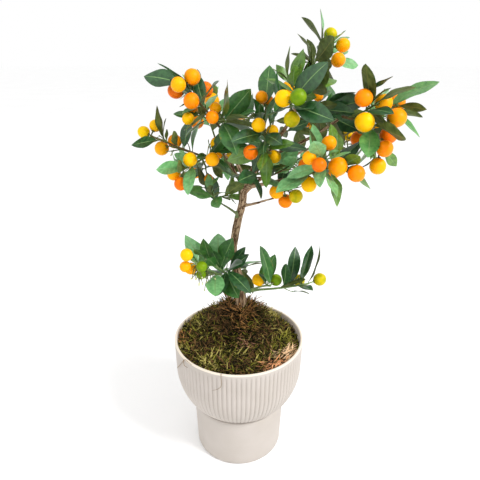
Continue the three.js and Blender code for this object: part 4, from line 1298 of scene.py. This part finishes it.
# Blades of a patch, and of the green moss elsewhere: look and share of the blades up to it
GREEN_BLADES = ((BROWN, 0.12), (DEEP, 0.36), (OLIVE, 0.66), (FRESH, 0.88), (TIP, math.inf))
PATCH_BLADES = ((DEEP, 0.08), (OLIVE, 0.16), (None, math.inf))


def patch_at(x, y, number):
    for middle_x, middle_y, reach_x, reach_y, look in MOSS_PATCHES:
        away = math.hypot((x - middle_x) / reach_x, (y - middle_y) / reach_y)
        if away < between(0.75, 1.25, number, 30):
            return look
    return None


def blade_looks(patch, shares):
    """A look for each blade of a tuft, drawn from those of its patch."""
    deal = GREEN_BLADES if patch is None else PATCH_BLADES
    drawn = [next(look for look, limit in deal if share < limit) for share in shares]
    return [patch if look is None else look for look in drawn]


def add_tuft(shape, foot, number, patch, size):
    """Narrow leaves that spread from one foot like a star and bend over toward their tips."""
    pick = np.array([[chance(number, blade, what) for what in range(6)] for blade in range(TUFT_BLADES)])
    turn = circle(TUFT_BLADES) + 0.3 * math.pi * pick[:, 0]
    climb = np.radians(8 + 47 * pick[:, 1])
    if patch in PALE_FIBRE:
        turn = FIBRE_WAY + math.pi * (np.arange(TUFT_BLADES) % 2) + 1.3 * (pick[:, 0] - 0.5)
        climb = np.radians(28 * pick[:, 1])
    length = size * np.interp(pick[:, 2:3] ** 1.7, (0, 1), TUFT_LENGTHS)
    out = np.stack([np.cos(turn), np.sin(turn), 0 * turn], 1)
    side = np.cross(UP, out)
    way = out * np.cos(climb)[:, None] + UP * np.sin(climb)[:, None]
    bend = side * length * 0.6 * (pick[:, 4:5] - 0.5) - UP * length * 0.35 * pick[:, 3:4]
    half = side * BLADE_HALF_WIDTH * (0.7 + 0.6 * pick[:, 5:6])
    rows = []
    for share, breadth in BLADE_ROWS:
        spine = foot + way * length * share + bend * share**2
        rows += [spine - half * breadth, spine + half * breadth]
    rows.append(foot + way * length + bend)
    points = np.stack(rows, 1)
    reach = np.hypot(points[..., 0], points[..., 1])
    points[..., :2] *= np.minimum(1, (MOSS_EDGE + 0.3) / reach)[..., None]
    start = len(rows) * np.arange(TUFT_BLADES)[:, None]
    # Blades are dealt lighter looks in some clumps and darker ones between: painted highlight and painted
    # shade
    light = 0.9 * (float(noise(foot, LIGHT_CLUMPS, 24)) - 0.55)
    looks = blade_looks(patch, [chance(number, blade, 40) + light for blade in range(TUFT_BLADES)])
    roots = [look if look in PALE_FIBRE else DEEP for look in looks]
    tips = (shape.count + start + (5, 4, 6)).tolist()
    shape.add(points, np.concatenate([start + (1, 0, 2, 3), start + (3, 2, 4, 5)]), roots + looks)
    shape.faces += tips
    shape.looks += looks


def clumps(x, y):
    """How far the moss lies below its highest at a place, between its clumps."""
    places = np.stack([x, y, 0 * x], -1)
    lumps = 0.75 * noise(places, CLUMP_SIZE, 21) + 0.25 * noise(places, CLUMP_SIZE / 3, 22)
    return -CLUMP_HEIGHT * (1 - lumps)


def make_soil():
    share = np.linspace(1, 0.004, SOIL_ROWS)[:, None]
    angle = circle(SOIL_COLUMNS)
    x = MOSS_EDGE * share * np.cos(angle)
    y = MOSS_EDGE * share * np.sin(angle)
    z = moss_height(x, y) + clumps(x, y) - 2.5 - 2 * np.maximum(0, share - 0.93) / 0.07
    top = np.stack([x, y, z], -1)
    bottom = np.stack([x[0], y[0], np.full(SOIL_COLUMNS, MOSS_LEVEL - SOIL_DEPTH)], -1)
    shape = Shape()
    shape.add_rings(np.concatenate([bottom[None], top]), SOIL)
    shape.piece("soil", moss_looks(), ["moss"], "moss")


def make_tufts():
    shape = Shape()
    for number in range(TUFTS):
        away = MOSS_EDGE * math.sqrt((number + 0.5) / TUFTS)
        x, y, _ = around(GOLDEN_ANGLE * number, away)
        if math.hypot(x - SEAT_X, y - SEAT_Y) < SEAT_TRUNK_RADIUS + 1:
            continue
        foot = np.array([x, y, float(moss_height(x, y)) + float(clumps(x, y)) - ROOT_DEPTH])
        size = 1 - (1 - TUFT_SHARE_AT_WALL) * max(0, away / MOSS_EDGE - 0.8) / 0.2
        patch = patch_at(x, y, number)
        add_tuft(shape, foot, number, patch, size)
        if patch in PALE_FIBRE:
            add_tuft(shape, foot + UP * 4, number + 2 * TUFTS, patch, size)
            add_tuft(shape, foot + UP * 2, number + 3 * TUFTS, patch, size)
    for number in range(TUFTS, TUFTS + FOOT_TUFTS):
        away = SEAT_TRUNK_RADIUS + 2 + FOOT_TUFT_REACH * chance(number, 60)
        x, y = TRUNK_COURSE[0, :2] + around(GOLDEN_ANGLE * number, away)[:2]
        foot = np.array([x, y, float(moss_height(x, y))])
        add_tuft(shape, foot, number, RUST if chance(number, 61) < 0.6 else BROWN, FOOT_TUFT_SIZE)
    shape.piece("moss_tufts", moss_looks(), ["moss"], "moss")


# Dry strands that hang over the rim, the small buds below the lowest spray, and the one white bud
DRY_STRANDS = [
    [(-81, -37, 147), (-77, -46, 157), (-68, -57.5, 175.2), (-63.5, -62, 176), (-58, -67, 174.8)],
    [(-21, -83.5, 175), (-21, -88, 173), (-21, -87, 160), (-25, -86, 154), (-32, -83, 149)],
    [(-70, -54, 172.5), (-68.5, -58.5, 168), (-64, -62, 166.5)],
]
BUD_MASS = "foliage_base_left"
BUD_TWIG = 0
BUDS = 32
BUD_RADIUS = 1.0
BLOSSOM_MASS = "foliage_upper"
BLOSSOM_TWIG = 3
BLOSSOM_STALK = (1.5, -14, -11)
PETALS = 5
PETAL_LENGTH = 3.2
PETAL_RADIUS = 0.9
BUD_STALK, BUD_GREEN, PETAL_WHITE = range(3)


def make_strands():
    shape = Shape()
    for points in DRY_STRANDS:
        points = np.array(points, float)
        points = np.vstack([2 * points[:1] - points[1:2], points, 2 * points[-1:] - points[-2:-1]])
        course = smooth(points, np.linspace(0, 1, 8 * (len(points) - 3) + 1))
        ways = unit(np.gradient(course, axis=0))
        add_tube(shape, course, ways, np.linspace(0.45, 0.22, len(course)), 6)
    shape.piece("dry_strands", [finish("dry_grass", (124, 104, 80), (146, 126, 100), 0.9, 4)], [], "moss")


def add_bulb(shape, foot, way, heights, radii, sides, look):
    """A straight round body that swells and narrows along its way."""
    course = foot + way * np.array(heights)[:, None]
    add_tube(shape, course, np.array([unit(way)] * len(heights)), radii, sides, look)


def make_buds(masses):
    """Pale buds on thin stalks below the lowest spray, and the white bud that hangs in the crown."""
    shape = Shape()
    twigs = {mass.name: mass.twigs for mass in masses}
    for number in range(BUDS):
        pick = picker(number)
        foot = twigs[BUD_MASS][BUD_TWIG].at(pick(0.55, 0.95, 50))
        way = unit(around(pick(0, 2 * math.pi, 51), 1, pick(-2.2, -0.7, 52)))
        tip = foot + way * pick(9, 26, 53)
        add_limb(shape, Limb(foot, tip, pick(-0.3, 0.3, 54), 0.15, 0.6, 0.45), 5, 2, BUD_STALK)
        swell = np.array([0.45, 1, 1, 0.3]) * BUD_RADIUS
        add_bulb(shape, tip, way, (0, 0.8, 1.8, 2.6), swell, 7, BUD_GREEN)
    foot = twigs[BLOSSOM_MASS][BLOSSOM_TWIG].at(1)
    heart = foot + np.array(BLOSSOM_STALK)
    add_limb(shape, Limb(foot, heart, 0.1, 0, 0.55, 0.5), 6, 2, BUD_STALK)
    for number in range(PETALS):
        way = around(2 * math.pi * number / PETALS, 0.55, -0.8) * PETAL_LENGTH
        swell = np.array([0.5, 1, 0.8, 0.25]) * PETAL_RADIUS
        add_bulb(shape, heart, way, (0, 0.4, 0.8, 1), swell, 8, PETAL_WHITE)
    looks = [
        finish("bud_stalk", (84, 96, 54), (112, 122, 74), 0.7, 4),
        finish("bud_green", (196, 200, 144), (214, 216, 168), 0.6, 3),
        finish("petal_white", (246, 246, 240), (252, 252, 248), 0.5, 3),
    ]
    shape.piece("buds", looks, [BUD_MASS, BLOSSOM_MASS], "foliage")


# Stage, light and camera, in metres. A light has its place, size and power.
FLOOR_HALF = 20
FLOOR_LEVEL = -0.0002
LIGHTS = [
    ("key", (1.3, -0.9, 1.7), 0.5, 29),
    ("fill", (-1.2, -1.3, 1.2), 0.9, 3),
]
AIM = (0.03, 0, 0.3)
SKY = 1.0


def make_stage():
    mesh = bpy.data.meshes.new("floor")
    corners = [(x * FLOOR_HALF, y * FLOOR_HALF, FLOOR_LEVEL) for x, y in ((-1, -1), (1, -1), (1, 1), (-1, 1))]
    mesh.from_pydata(corners, [], [(0, 1, 2, 3)])
    mesh.materials.append(finish("floor_paper", (253, 253, 253), (255, 255, 255), 0.9, 400))
    add_object("floor", mesh)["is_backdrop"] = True


def make_light():
    world = bpy.data.worlds.new("studio")
    world.use_nodes = True
    sky = world.node_tree.nodes["Background"]
    sky.inputs["Color"].default_value = (1, 1, 1, 1)
    sky.inputs["Strength"].default_value = SKY
    bpy.context.scene.world = world
    bpy.context.scene.view_settings.view_transform = "Standard"
    for name, place, size, power in LIGHTS:
        data = bpy.data.lights.new(name, "AREA")
        data.size = size
        data.energy = power
        lamp = add_object(name, data)
        lamp.location = place
        x, y, z = np.array(AIM) - np.array(place)
        lamp.rotation_euler = (math.atan2(math.hypot(x, y), -z), 0, math.atan2(-x, y))


def place_camera():
    data = bpy.data.cameras.new("camera")
    data.sensor_width = SENSOR
    data.lens = SENSOR * CAMERA_FOCAL_SHARE
    data.clip_start = 0.01
    camera = add_object("camera", data)
    camera.location = [MM * value for value in CAMERA_PLACE]
    camera.rotation_euler = (math.radians(90 - CAMERA_TURNED_DOWN), 0, 0)
    bpy.context.scene.camera = camera


place_camera()
make_light()
make_stage()
limbs = grow_limbs()
masses, wood, fruits, leaves = grow_crown(limbs)
grow_finer(masses, wood, fruits, leaves)
make_pot()
make_soil()
make_tufts()
make_bark(limbs)
make_twigs(masses)
make_leaves(masses)
make_fruits(masses)
make_strands()
make_buds(masses)

looks_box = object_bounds()
